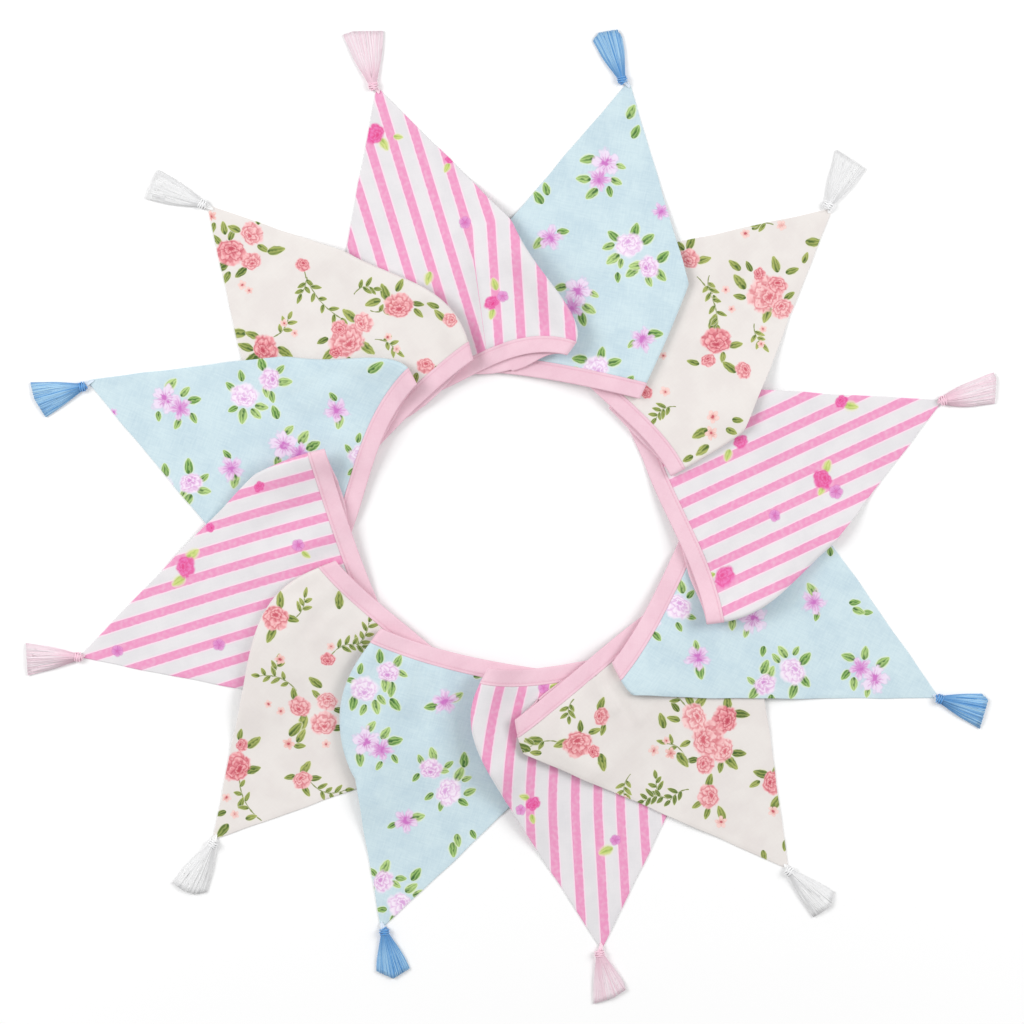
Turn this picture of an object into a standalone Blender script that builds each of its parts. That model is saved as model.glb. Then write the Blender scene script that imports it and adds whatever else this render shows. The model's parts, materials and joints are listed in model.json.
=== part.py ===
"""Fabric bunting of twelve pennants, laid out on a table as a ring.

Each pennant lies over its clockwise neighbour, with its clockwise corner turned under. One long bias
tape binds the wide edges and doubles back beneath itself from each pennant to the next. A tassel lies
at every tip. Metres, +Z up, origin at the centre of the ring on the surface that it lies on.
"""
import math

import bmesh
import bpy
import numpy as np
from mathutils import Vector
from mathutils.geometry import delaunay_2d_cdt

MM = 0.001

# Driving sizes
CLOTH = 1.0 * MM            # thickness of a pennant, its two plies together
TAPE = 1.6 * MM             # thickness of the folded tape
TAPE_WIDTH = 12 * MM
TAPE_CLEAR = 0.05 * MM      # the tape's underside lies this far above the table
SEAM_GAP = 0.3 * MM         # between the cloth's edge and the tape
TIP_WIDTH = 3.2 * MM
LAYER_OUTER = 1.7 * MM      # from one sheet's middle to the next, cloth on cloth
LAYER_INNER = 2.2 * MM      # the same where tape lies on tape, near the ring's hole
INNER_RADIUS = 185 * MM     # inside this radius the inner spacing holds
OUTER_RADIUS = 245 * MM     # outside this radius the outer spacing holds
EDGE_MARGIN = 6 * MM        # a sheet is fully raised this far before it reaches an edge below
EDGE_RAMP = 46 * MM         # and it starts to rise this much earlier
FLAP_RAMP = 34 * MM
ROLL_REACH = 24 * MM        # how far a turned corner's swell reaches
BOW_REACH = 55 * MM         # how far a fold's bow reaches into the pennant
TAPE_RUN_ON = 7 * MM        # tape past a pennant's hidden corner, before it doubles back
FREE_END = 26 * MM          # tape past the first and the last pennant
OVERLAPS = 4                # a pennant lies over parts of at most this many others

# Spacing of the mesh's lines
CLOTH_SPACING = 19 * MM
EDGE_STATIONS = 15          # across the tape, from a pennant's hidden corner to its fold
CORNER_SPACING = 12 * MM    # of the same along a turned corner
RETURN_SPACING = 10 * MM    # and where the tape doubles back
TRACE_POINTS = 13
TURN_LINES = 5              # through the half turn of a fold

# Pennants, clockwise from the top. Angles in degrees, lengths in millimetres.
# around: place of the tip around the ring, from +X. out: distance of the tip from the centre.
# lean: turn of the pennant's axis from the line to the centre, clockwise. tall, half: height and half
# of the tip's angle. edge: how far the wide edge dips towards the hole at each of EDGE_PLACES.
# fold_from, fold_to: where the turned corner's fold leaves the long side (from the tip, along the
# axis) and where it meets the wide edge (from the axis). bow, bow_at: how far the fold bows
# outwards, and where along it. roll: radius of the fold. shows: how far the tape that doubles back
# below shows in the hole.
PENNANTS = (
    # cloth, around, out, lean, tall, half, edge, fold_from, fold_to, bow, bow_at, roll, shows
    ("stripe", 107.5, 311.6, 0.4, 209, 28.0, (5, 1.5, -2.5, 13), 114, 71, 15, 0.72, 2.3, 9),
    ("blue", 74.9, 312.1, -3.0, 214, 28.5, (1.5, -1, -1, 0), 127, 53, 1, 0.50, 1.9, 0),
    ("cream", 43.8, 307.7, 3.5, 207, 28.0, (1, -1, -5, 1), 121, 66, 4, 0.75, 1.9, 3),
    ("stripe", 14.9, 309.3, -9.9, 206, 28.0, (0, 0.5, 1.5, 10), 109, 72, 11, 0.60, 2.2, 3),
    ("blue", -23.1, 321.9, 4.4, 203, 28.0, (7, 5.5, 4.5, 8), 180, 83, 1, 0.50, 1.9, 0),
    ("cream", -52.0, 311.4, 1.0, 200, 29.0, (0, 0, -2, -3.5), 176, 89, 1, 0.50, 1.9, 2),
    ("stripe", -78.3, 307.7, 8.4, 198, 29.5, (5, 2, -1.5, 5), 102, 67, 18, 0.55, 2.2, 0),
    ("blue", -107.6, 300.7, 1.2, 195, 28.5, (9, 3, 0.5, 3), 91, 67, 19, 0.45, 2.2, 0),
    ("cream", -132.7, 306.4, -1.8, 199, 29.5, (1, 0.5, 0.5, 6), 92, 62, 20, 0.52, 2.2, 0),
    ("stripe", -161.9, 316.0, 0.8, 202, 29.0, (8, 4.5, 3, 3), 150, 87, 2, 0.55, 2.2, 3),
    ("blue", 162.4, 309.8, 4.1, 201, 29.0, (8, 6, 4, 11.5), 118, 82, 14, 0.72, 2.2, 2),
    ("cream", 134.5, 301.7, 2.8, 199, 29.5, (6, 2.5, 1.5, 5), 87, 66, 18, 0.60, 2.2, 3),
)
EDGE_PLACES = (-40 * MM, 0, 40 * MM, 80 * MM)  # across from the axis, clockwise
EDGE_LIMITS = (-50 * MM, 92 * MM)              # past these the dip stays as it is
SHOWS_AFTER = 32 * MM       # the doubled tape shows this far past the fold
TAPE_STARTS_AT = 3          # index of the pennant that the tape's first end binds

# Soft folds in the pennants, each a raised ridge along a line. Places as on the flat cloth, across
# from the axis and along from the tip, in millimetres.
RIDGES = (
    # pennant, from, to, height, half width
    (1, (34, 112), (19, 196), 3.0, 8),
    (4, (16, 150), (22, 192), 1.6, 9),
    (4, (50, 146), (52, 190), 1.4, 9),
    (6, (24, 150), (21, 188), 1.8, 8),
    (6, (56, 150), (52, 184), 1.2, 9),
    (8, (4, 152), (12, 184), 1.5, 7),
    (8, (24, 150), (34, 182), 1.8, 7),
    (9, (8, 146), (12, 186), 1.5, 9),
    (9, (38, 140), (44, 186), 1.8, 9),
    (10, (26, 148), (30, 188), 1.5, 9),
    (10, (58, 150), (62, 190), 1.4, 9),
    (12, (20, 150), (24, 186), 1.2, 9),
)

# Tassels, in the same order. points: where the threads point, from +X. long: from the pennant's tip
# to the threads' ends. fan: width of their ends. curl: how far the ends sweep to one side. Angles in
# degrees, lengths in millimetres.
TASSELS = (
    # thread, points, long, fan, curl
    ("pink", 103.0, 43, 28, 1.0),
    ("blue", 109.5, 38, 20, 4.0),
    ("white", 64.0, 43, 23, 0.0),
    ("pink", 16.0, 40, 21, 2.0),
    ("blue", -16.5, 38, 23, -1.0),
    ("white", -42.6, 42, 22, 1.0),
    ("pink", -76.8, 40, 24, -1.5),
    ("blue", -78.0, 38, 24, 1.0),
    ("white", -117.4, 42, 24, -1.0),
    ("pink", 182.2, 40, 22, 0.5),
    ("blue", 198.0, 41, 26, -1.0),
    ("white", 157.6, 43, 23, 1.0),
)

# A tassel's head, from the loop at the pennant's tip to the roots of the threads, in millimetres.
HEAD = (
    # from the tip, half width, height
    (0.6, 0.9, 1.6),
    (3.0, 1.2, 2.2),
    (4.6, 4.2, 5.6),
    (8.2, 4.6, 6.2),
    (9.4, 3.5, 4.8),
    (11.0, 3.6, 4.8),
    (12.6, 4.6, 5.0),
)
HEAD_SIDE = 0.42            # height of the head's widest line, as a share of the head's
HEAD_CORNER = 0.12          # height of its lower corners
# The threads hang in locks, in two rows of LOCK_COLUMNS.
LOCK_ROWS = (
    # underside half way along and at the end in millimetres, shift across in columns
    (0.0, 0.0, -0.24),
    (2.2, 1.8, 0.24),
)
LOCK_COLUMNS = 6
LOCK_THICK = (1.7, 1.4)     # half way along and at the end, in millimetres
LOCK_GAP = 0.16             # share of a lock's root that the gap beside it takes
LOCK_END = 0.72             # width of a lock's end against the space that it has there
LOCK_STEP = 0.4 * MM        # from the head's end to a lock's first section
LOCK_SHORTER = 0.10         # how much shorter the outermost locks are, as a share
LOCK_UNEVEN = 0.04          # how uneven their ends are

# Colour, roughness
FINISHES = {
    "stripe": ((0.93, 0.62, 0.76), 0.85),
    "blue": ((0.70, 0.86, 0.92), 0.85),
    "cream": ((0.92, 0.87, 0.82), 0.85),
    "tape": ((0.91, 0.65, 0.72), 0.80),
    "thread_pink": ((0.94, 0.70, 0.78), 0.55),
    "thread_blue": ((0.13, 0.38, 0.75), 0.55),
    "thread_white": ((0.90, 0.90, 0.90), 0.55),
}


def smooth(x):
    """0 below 0, 1 above 1, and an S curve between them."""
    x = np.clip(x, 0.0, 1.0)
    return x * x * (3.0 - 2.0 * x)


def distance_to_line(points, line):
    """Distance from each point to a line of straight runs."""
    start, end = line[:-1], line[1:]
    run = end - start
    offset = points[:, None, :] - start
    length = np.maximum((run * run).sum(axis=1), 1e-12)
    along = np.clip((offset * run).sum(axis=2) / length, 0.0, 1.0)
    gap = offset - along[:, :, None] * run
    return np.sqrt((gap * gap).sum(axis=2).min(axis=1))


def inside(points, outline):
    """True for each point within a closed outline."""
    a = outline
    b = np.roll(outline, -1, axis=0)
    x, y = points[:, 0:1], points[:, 1:2]
    spans = (a[:, 1] > y) != (b[:, 1] > y)
    slope = (b[:, 0] - a[:, 0]) / np.where(a[:, 1] == b[:, 1], 1e-12, b[:, 1] - a[:, 1])
    crosses = spans & (x < a[:, 0] + (y - a[:, 1]) * slope)
    return crosses.sum(axis=1) % 2 == 1


def distance_outside(points, outline):
    """Distance from each point to a closed outline, 0 within it."""
    closed = np.vstack([outline, outline[:1]])
    return np.where(inside(points, outline), 0.0, distance_to_line(points, closed))


def layer_pitch(plan):
    """Spacing of the sheets at each place: wider near the hole, where the tape lies."""
    radius = np.hypot(plan[:, 0], plan[:, 1])
    outwards = smooth((radius - INNER_RADIUS) / (OUTER_RADIUS - INNER_RADIUS))
    return LAYER_INNER + (LAYER_OUTER - LAYER_INNER) * outwards


def surface_level(plan):
    """Height of a sheet's middle where nothing lies under it."""
    radius = np.hypot(plan[:, 0], plan[:, 1])
    inwards = 1.0 - smooth((radius - INNER_RADIUS) / (OUTER_RADIUS - INNER_RADIUS))
    return CLOTH / 2 + ((TAPE - CLOTH) / 2 + TAPE_CLEAR) * inwards


class Pennant:
    """One pennant: its flat cut, where it lies, and the corner that is turned under.

    Flat places are (across, along): across from the axis, clockwise, and along the axis from the tip.
    """

    def __init__(self, row):
        (self.cloth, around, out, lean, tall, half, edge, fold_from, fold_to,
         bow, self.bow_at, roll, shows) = row
        self.tall = tall * MM
        self.slope = math.tan(math.radians(half))
        self.edge = np.polyfit(EDGE_PLACES, np.array(edge) * MM, 3)
        self.bow = bow * MM
        self.roll = roll * MM
        self.shows = shows * MM
        around = math.radians(around)
        heading = around + math.pi - math.radians(lean)
        self.tip = out * MM * np.array((math.cos(around), math.sin(around)))
        self.inwards = np.array((math.cos(heading), math.sin(heading)))
        self.clockwise = np.array((-self.inwards[1], self.inwards[0]))
        self.cloth_end = self.tall - TAPE_WIDTH - SEAM_GAP
        # the fold's outermost line runs from the long side to the wide edge
        self.fold_from = fold_from * MM
        self.fold_start = self.half_width(self.fold_from)
        self.fold_slope = (fold_to * MM - self.fold_start) / (self.tall - self.fold_from)
        self.return_line = None
        self.ridges = [[np.array(start) * MM, np.array(end) * MM, height * MM, half * MM]
                       for number, start, end, height, half in RIDGES if PENNANTS[number - 1] is row]

    def half_width(self, along):
        return TIP_WIDTH / 2 + along * self.slope

    def fold_across(self, along):
        """Where the cloth starts to turn under, a given way down the pennant."""
        return self.fold_start + (along - self.fold_from) * self.fold_slope - self.roll

    def past_fold(self, flat):
        """Distance past the fold, across the pennant, negative before it."""
        return flat[:, 0] - self.fold_across(flat[:, 1])

    def side_at(self, past):
        """The point of the long side that lies a given distance past the fold."""
        along = self.fold_from + (past - self.roll) / (self.slope - self.fold_slope)
        return self.half_width(along), along

    def to_plan(self, flat):
        """Plan place of each flat place, and its share of the rise from turned corner to top."""
        across, along = flat[:, 0], flat[:, 1]
        past = self.past_fold(flat)
        turned = np.clip(past / self.roll, 0.0, math.pi)
        beyond = np.maximum(past - math.pi * self.roll, 0.0)
        reach = np.where(past < 0, past, self.roll * np.sin(turned) - beyond)
        share = (1.0 + np.cos(turned)) / 2
        # the fold bows outwards, and the wide edge dips
        lengthwise = np.clip((along - self.fold_from) / (self.tall - self.fold_from), 0.0, 1.0)
        bump = np.sin(math.pi * lengthwise ** (math.log(0.5) / math.log(self.bow_at)))
        across = across - past + reach + self.bow * bump * np.exp(-(reach / BOW_REACH) ** 2)
        down = np.clip(along / self.tall, 0.0, 1.1)
        dip = np.polyval(self.edge, np.clip(across, *EDGE_LIMITS)) * down ** 2
        dip += self.shows * smooth(beyond / SHOWS_AFTER) * down ** 6
        plan = self.tip + np.outer(across, self.clockwise) + np.outer(along + dip, self.inwards)
        return plan, share

    def plan(self, *flat):
        return self.to_plan(np.array(flat, dtype=float))[0]

    def trace(self, run_on):
        """Plan lines that the sheets above need: the outline, the turned corner, fold and ridges."""
        steps = np.linspace(0.0, 1.0, TRACE_POINTS)[:, None]
        start = np.array(self.side_at(0.0))
        end = np.array((self.fold_across(self.tall), self.tall))
        fold = start + steps * (end - start)
        corner = np.array((self.half_width(self.tall), self.tall))
        hidden = np.array((-self.half_width(self.tall) - run_on, self.tall))
        wide_edge = end + steps[1:] * (hidden - end)
        tip = np.array(((-TIP_WIDTH / 2, 0.0), (TIP_WIDTH / 2, 0.0)))
        self.outline = self.to_plan(np.vstack([tip, fold, wide_edge]))[0]
        self.fold_line = self.to_plan(fold)[0]
        turned = np.vstack([end + steps * (corner - end), corner + steps * (start - corner)])
        self.corner_outline = np.vstack([self.fold_line[:-1], self.to_plan(turned)[0]])
        self.ridge_lines = [(self.plan(*(low + steps * (high - low))), height, half)
                            for low, high, height, half in self.ridges]


def swell(pennant, plan):
    """How far a pennant's turned corner, and the tape that doubles back there, raise what is above."""
    below = distance_outside(plan, pennant.corner_outline)
    if pennant.return_line is not None:
        beside_tape = distance_to_line(plan, pennant.return_line) - TAPE_WIDTH / 2
        below = np.minimum(below, np.maximum(beside_tape, 0.0))
    pitch = layer_pitch(plan)
    covered = 1.0 - smooth((below - EDGE_MARGIN) / FLAP_RAMP)
    from_fold = distance_to_line(plan, pennant.fold_line)
    rounding = np.exp(-(from_fold / ROLL_REACH) ** 2)
    rise = pitch * covered + (2 * pennant.roll - pitch) * rounding
    for line, height, half in pennant.ridge_lines:
        rise += height * np.exp(-(distance_to_line(plan, line) / half) ** 2)
    return rise


def lower_level(pennants, index, plan):
    """Height of a pennant's turned corner: above all that lies below the pennant."""
    level = surface_level(plan)
    pitch = layer_pitch(plan)
    for step in range(1, OVERLAPS + 1):
        other = pennants[(index + step) % len(pennants)]
        apart = distance_outside(plan, other.outline)
        level += pitch * (1.0 - smooth((apart - EDGE_MARGIN) / EDGE_RAMP)) + swell(other, plan)
    return level


def place(pennants, index, flat):
    """Where flat places of a pennant's middle surface lie in space."""
    plan, share = pennants[index].to_plan(flat)
    level = lower_level(pennants, index, plan)
    return np.column_stack([plan, level + share * swell(pennants[index], plan)])


def fold_stops(pennant):
    """Distances past the fold at which the turn is divided."""
    return np.linspace(0.0, math.pi * pennant.roll, TURN_LINES)


def edge_stations(pennant):
    """Lines across the tape: where each meets the cloth's edge, the tape's outer and inner edge.

    Before the fold they turn bit by bit until they lie along it, and turn back after it.
    """
    heights = np.array((pennant.cloth_end, pennant.cloth_end + SEAM_GAP, pennant.tall))
    wide = pennant.half_width(heights)
    at_fold = pennant.fold_across(heights) + fold_stops(pennant)[:, None]
    steps = np.linspace(0.0, 1.0, EDGE_STATIONS + 1)[:-1, None]
    before = -wide + steps * (at_fold[0] + wide)
    count = max(2, round((wide[2] - at_fold[-1][2]) / CORNER_SPACING))
    steps = np.linspace(0.0, 1.0, count + 1)[1:, None]
    after = at_fold[-1] + steps * (wide - at_fold[-1])
    return np.vstack([before, at_fold, after]), heights


def divide(start, end, spacing):
    """Points from start up to, but without, end."""
    count = max(1, round(math.dist(start, end) / spacing))
    return [tuple(np.array(start) + (np.array(end) - start) * i / count) for i in range(count)]


def pennant_mesh(pennants, index):
    """Flat triangles cut along the fold, laid in place and given their thickness."""
    pennant = pennants[index]
    spacing = CLOTH_SPACING
    stations, heights = edge_stations(pennant)
    top = [(across, heights[0]) for across in stations[:, 0]]
    hidden, corner = top[0], top[-1]
    side = [pennant.side_at(stop) for stop in fold_stops(pennant)]     # the turn leaves the long side
    outline = divide((-TIP_WIDTH / 2, 0.0), (TIP_WIDTH / 2, 0.0), spacing)
    outline += divide((TIP_WIDTH / 2, 0.0), side[0], spacing)
    outline += side[:-1]
    outline += divide(side[-1], corner, spacing)
    outline += top[:0:-1]
    outline += divide(hidden, (-TIP_WIDTH / 2, 0.0), spacing)
    points = list(outline)
    edges = [(i, (i + 1) % len(outline)) for i in range(len(outline))]
    # lines of the turn, from the long side to the wide edge
    for low, high in zip(side, top[EDGE_STATIONS:]):
        inner = divide(low, high, spacing)[1:]
        chain = [points.index(low)] + list(range(len(points), len(points) + len(inner)))
        points += inner
        chain.append(points.index(high))
        edges += list(zip(chain[:-1], chain[1:]))
    # crest and feet of each ridge
    lines = []
    for start, end, _, half in pennant.ridges:
        way = (end - start) / np.linalg.norm(end - start)
        aside = np.array((way[1], -way[0])) * half * 1.3
        foot = way * half
        for low, high in ((start - foot, end), (start + aside, end + aside), (start - aside, end - aside)):
            lines.append(np.array((low, high)))
            first = len(points)
            points += divide(low, high, spacing * 0.8) + [tuple(high)]
            edges += [(i, i + 1) for i in range(first, len(points) - 1)]
    # loose points between
    ring = np.array(outline)
    turn = math.pi * pennant.roll / 2
    rows = int(pennant.tall / (spacing * 0.87)) + 1
    fill = np.array([((column + 0.5 * (row % 2)) * spacing, row * spacing * 0.87)
                     for row in range(rows) for column in range(-8, 9)])
    from_turn = np.abs(pennant.past_fold(fill) - turn) - turn
    keep = inside(fill, ring) & (from_turn > 0.45 * spacing)
    for line in lines + [np.vstack([ring, ring[:1]])]:
        keep &= distance_to_line(fill, line) > 0.5 * spacing
    points += [tuple(p) for p in fill[keep]]
    flat, _, faces, _, _, _ = delaunay_2d_cdt([Vector(p) for p in points], edges, [], 1, 1e-7)
    flat = np.array([tuple(p) for p in flat])
    return thicken(pennants, index, flat, faces)


def thicken(pennants, index, flat, faces):
    """A closed shell on both sides of a pennant's middle surface."""
    nudge = 0.25 * MM
    middle = place(pennants, index, flat)
    sideways = place(pennants, index, flat + (nudge, 0)) - place(pennants, index, flat - (nudge, 0))
    lengthways = place(pennants, index, flat + (0, nudge)) - place(pennants, index, flat - (0, nudge))
    normal = np.cross(lengthways, sideways)
    normal /= np.linalg.norm(normal, axis=1)[:, None]
    normal *= np.sign(normal[np.argmin(flat[:, 1]), 2])
    count = len(flat)
    verts = np.vstack([middle + normal * CLOTH / 2, middle - normal * CLOTH / 2])
    shell = []
    border = {}
    for face in faces:
        a, b, c = face
        doubled = (flat[b, 0] - flat[a, 0]) * (flat[c, 1] - flat[a, 1]) \
            - (flat[c, 0] - flat[a, 0]) * (flat[b, 1] - flat[a, 1])
        if doubled > 0:
            a, c = c, a
        shell += [(a, b, c), (a + count, c + count, b + count)]
        for edge in ((a, b), (b, c), (c, a)):
            if edge[::-1] in border:
                del border[edge[::-1]]
            else:
                border[edge] = True
    shell += [(b, a, a + count, b + count) for a, b in border]
    return verts, shell


def tape_edges(pennants):
    """Middle of the tape's two edges, from its first end to its last, through every fold."""
    outer, inner = [], []
    order = [(TAPE_STARTS_AT + i) % len(pennants) for i in range(len(pennants))]
    for number, index in enumerate(order):
        pennant = pennants[index]
        stations, heights = edge_stations(pennant)
        if number == 0:
            tail = np.linspace(-FREE_END, 0.0, 4)[:-1]
            lines = np.vstack([stations[0] + step for step in tail] + [stations])
        else:
            lines = np.vstack([stations[0] - TAPE_RUN_ON, stations])
        outer.append(place(pennants, index, np.column_stack([lines[:, 1], np.full(len(lines), heights[1])])))
        inner.append(place(pennants, index, np.column_stack([lines[:, 2], np.full(len(lines), heights[2])])))
        if pennant.return_line is None:
            continue
        sides = pennant.return_sides
        outer.append(np.column_stack([sides[0], lower_level(pennants, index, sides[0])]))
        inner.append(np.column_stack([sides[1], lower_level(pennants, index, sides[1])]))
        if number + 1 < len(order):
            # the tape turns down and back, on to the next pennant
            following = pennants[order[number + 1]]
            for edge, height in ((outer, TAPE_WIDTH), (inner, 0.0)):
                across = -following.half_width(following.tall) - TAPE_RUN_ON
                low = place(pennants, order[number + 1], np.array([(across, following.tall - height)]))[0]
                high = edge[-1][-1]
                turn = np.linspace(0.0, math.pi, TURN_LINES)[1:-1, None]
                radius = (high[2] - low[2]) / 2
                away = high[:2] - edge[-1][-2][:2]
                away /= np.linalg.norm(away)
                flat = high[:2] + np.sin(turn) * radius * away
                flat = flat + (low[:2] - high[:2]) * (1 - np.cos(turn)) / 2
                rise = (high[2] + low[2]) / 2 + np.cos(turn) * radius
                edge.append(np.column_stack([flat, rise]))
    return np.vstack(outer), np.vstack(inner)


def lay_returns(pennants):
    """Plan of the tape between a turned corner and the next pennant's hidden corner."""
    for index, pennant in enumerate(pennants):
        wide = pennant.half_width(pennant.tall)
        across = np.array((wide - 1 * MM, wide))
        start_outer = pennant.plan(*[(a, pennant.tall - TAPE_WIDTH) for a in across])
        start_inner = pennant.plan(*[(a, pennant.tall) for a in across])
        start = (start_outer[1] + start_inner[1]) / 2
        start_way = start - (start_outer[0] + start_inner[0]) / 2
        start_way /= np.linalg.norm(start_way)
        following = (index + 1) % len(pennants)
        if following == TAPE_STARTS_AT:
            end = start + start_way * FREE_END
            end_way = start_way
        else:
            other = pennants[following]
            hidden = -other.half_width(other.tall) - TAPE_RUN_ON
            edge_middle = other.tall - TAPE_WIDTH / 2
            end, before = other.plan((hidden, edge_middle), (hidden + 1 * MM, edge_middle))
            end_way = end - before
            end_way /= np.linalg.norm(end_way)
        reach = np.linalg.norm(end - start)
        pull = 0.42 * reach
        count = max(3, round(reach / RETURN_SPACING))
        t = np.linspace(0.0, 1.0, count + 1)[:, None]
        line = ((1 - t) ** 3 * start + 3 * (1 - t) ** 2 * t * (start + start_way * pull)
                + 3 * (1 - t) * t ** 2 * (end - end_way * pull) + t ** 3 * end)
        way = np.gradient(line, axis=0)
        way /= np.linalg.norm(way, axis=1)[:, None]
        side = np.column_stack([-way[:, 1], way[:, 0]])
        # the outer edge is the one away from the hole
        side *= np.sign(((start_outer[1] - start_inner[1]) @ side[0]))
        pennant.return_line = line
        pennant.return_sides = (line[1:] + side[1:] * TAPE_WIDTH / 2, line[1:] - side[1:] * TAPE_WIDTH / 2)


def tape_mesh(pennants):
    """A flat strip with square edges, carried along the tape's two edges."""
    outer, inner = tape_edges(pennants)
    across = outer - inner
    across /= np.linalg.norm(across, axis=1)[:, None]
    rows = []
    for edge in (outer, inner):
        along = np.gradient(edge, axis=0)
        along /= np.linalg.norm(along, axis=1)[:, None]
        normal = np.cross(along, across)
        normal /= np.linalg.norm(normal, axis=1)[:, None]
        rows += [edge + normal * TAPE / 2, edge - normal * TAPE / 2]
    ring = np.stack([rows[0], rows[1], rows[3], rows[2]], axis=1)
    count = len(ring)
    verts = ring.reshape(-1, 3)
    faces = [(0, 3, 2, 1), tuple(4 * (count - 1) + i for i in range(4))]
    for i in range(count - 1):
        for j in range(4):
            a, b = 4 * i + j, 4 * i + (j + 1) % 4
            faces.append((a, b, b + 4, a + 4))
    return verts, faces


def tassel_mesh(points, long, fan, curl, tip):
    """A bound head with a short loop, and a skirt of locks that grow out of its end.

    Worked out along +X from the pennant's tip, then turned. Its underside lies level at 0.
    """
    columns = LOCK_COLUMNS
    # a section goes round: along the bottom, up one side, back along the top, down the other
    spread = np.linspace(-1.0, 1.0, columns + 1)
    around = [(y, 0.0) for y in spread] + [(1.0, HEAD_SIDE)]
    around += [(y, 1.0) for y in spread[::-1]] + [(-1.0, HEAD_SIDE)]
    across, upwards = np.array(around).T
    at_end = np.abs(across) > 0.99
    arch = np.sqrt(1.0 - 0.75 * across ** 2)
    upwards = np.where(upwards == 1.0, arch, upwards)
    upwards = np.where(at_end & (upwards == 0.0), HEAD_CORNER, upwards)
    across = across * np.where(at_end & (upwards != HEAD_SIDE), 0.8, 1.0)
    mesh = bmesh.new()
    rings = [[mesh.verts.new((distance * MM, half * MM * y, height * MM * z))
              for y, z in zip(across, upwards)] for distance, half, height in HEAD]
    count = len(around)
    for low, high in zip(rings[:-1], rings[1:]):
        for i in range(count):
            j = (i + 1) % count
            mesh.faces.new((low[i], low[j], high[j], high[i]))
    mesh.faces.new(rings[0][::-1])
    # the end is divided into one cell for each lock, in two rows
    last = rings[-1]
    distance = HEAD[-1][0] * MM
    bottom, top = last[:columns + 1], last[columns + 2:2 * columns + 3][::-1]
    middle = [last[-1]]
    for low, high in zip(bottom[1:-1], top[1:-1]):
        middle.append(mesh.verts.new((distance, low.co.y, (low.co.z + high.co.z) / 2)))
    middle.append(last[columns + 1])
    length = long * MM - distance
    end_half = fan * MM / columns * LOCK_END / 2
    for (half_way, at_last, shift), low, high in zip(LOCK_ROWS, (bottom, middle), (middle, top)):
        for column in range(columns):
            corners = [low[column], low[column + 1], high[column + 1], high[column]]
            root = np.array([tuple(v.co) for v in corners])
            centre = root.mean(axis=0)
            root_half = (root[1, 1] - root[0, 1]) / 2 * (1 - LOCK_GAP)
            place_across = (column + 0.5 + shift) / columns * 2 - 1
            uneven = LOCK_UNEVEN * math.sin(2.3 * column + 10 * shift + points)
            reach = length * (1 - LOCK_UNEVEN - LOCK_SHORTER * place_across ** 2 + uneven)
            ring = centre + (root - centre) * (1 - LOCK_GAP) + (LOCK_STEP, 0, 0)
            sections = [ring]
            for share, base, thick in zip((0.5, 1.0), (half_way, at_last), LOCK_THICK):
                x = distance + reach * share
                y = centre[1] + (place_across * fan * MM / 2 - centre[1]) * share ** 1.25
                y += curl * MM * share ** 2
                wide = root_half + (end_half - root_half) * share
                narrow = wide * 0.8
                low_z, high_z = base * MM, (base + thick) * MM
                sections.append(np.array(((x, y - wide, low_z), (x, y + wide, low_z),
                                          (x, y + narrow, high_z), (x, y - narrow, high_z))))
            previous = corners
            for ring in sections:
                new = [mesh.verts.new(tuple(p)) for p in ring]
                for i in range(4):
                    j = (i + 1) % 4
                    mesh.faces.new((previous[i], previous[j], new[j], new[i]))
                previous = new
            mesh.faces.new(previous)
    verts = np.array([tuple(v.co) for v in mesh.verts])
    mesh.verts.index_update()
    faces = [tuple(v.index for v in face.verts) for face in mesh.faces]
    mesh.free()
    angle = math.radians(points)
    turn = np.array(((math.cos(angle), math.sin(angle)), (-math.sin(angle), math.cos(angle))))
    verts[:, :2] = tip + verts[:, :2] @ turn
    return verts, faces


def finish(name):
    """A named Principled material."""
    if name in bpy.data.materials:
        return bpy.data.materials[name]
    colour, roughness = FINISHES[name]
    material = bpy.data.materials.new(name)
    material.use_nodes = True
    shader = material.node_tree.nodes["Principled BSDF"]
    shader.inputs["Base Color"].default_value = (*colour, 1.0)
    shader.inputs["Roughness"].default_value = roughness
    shader.inputs["Metallic"].default_value = 0.0
    return material


def add_piece(name, verts, faces, material, centre):
    """A named object of triangles, with the ring's box centred on the origin."""
    mesh = bpy.data.meshes.new(name)
    mesh.from_pydata([tuple(v) for v in verts - centre], [], faces)
    shape = bmesh.new()
    shape.from_mesh(mesh)
    bmesh.ops.triangulate(shape, faces=shape.faces)
    bmesh.ops.recalc_face_normals(shape, faces=shape.faces)
    shape.to_mesh(mesh)
    shape.free()
    mesh.shade_smooth()
    mesh.set_sharp_from_angle(angle=math.radians(50))
    piece = bpy.data.objects.new(name, mesh)
    piece.data.materials.append(finish(material))
    bpy.context.scene.collection.objects.link(piece)
    return piece


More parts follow.
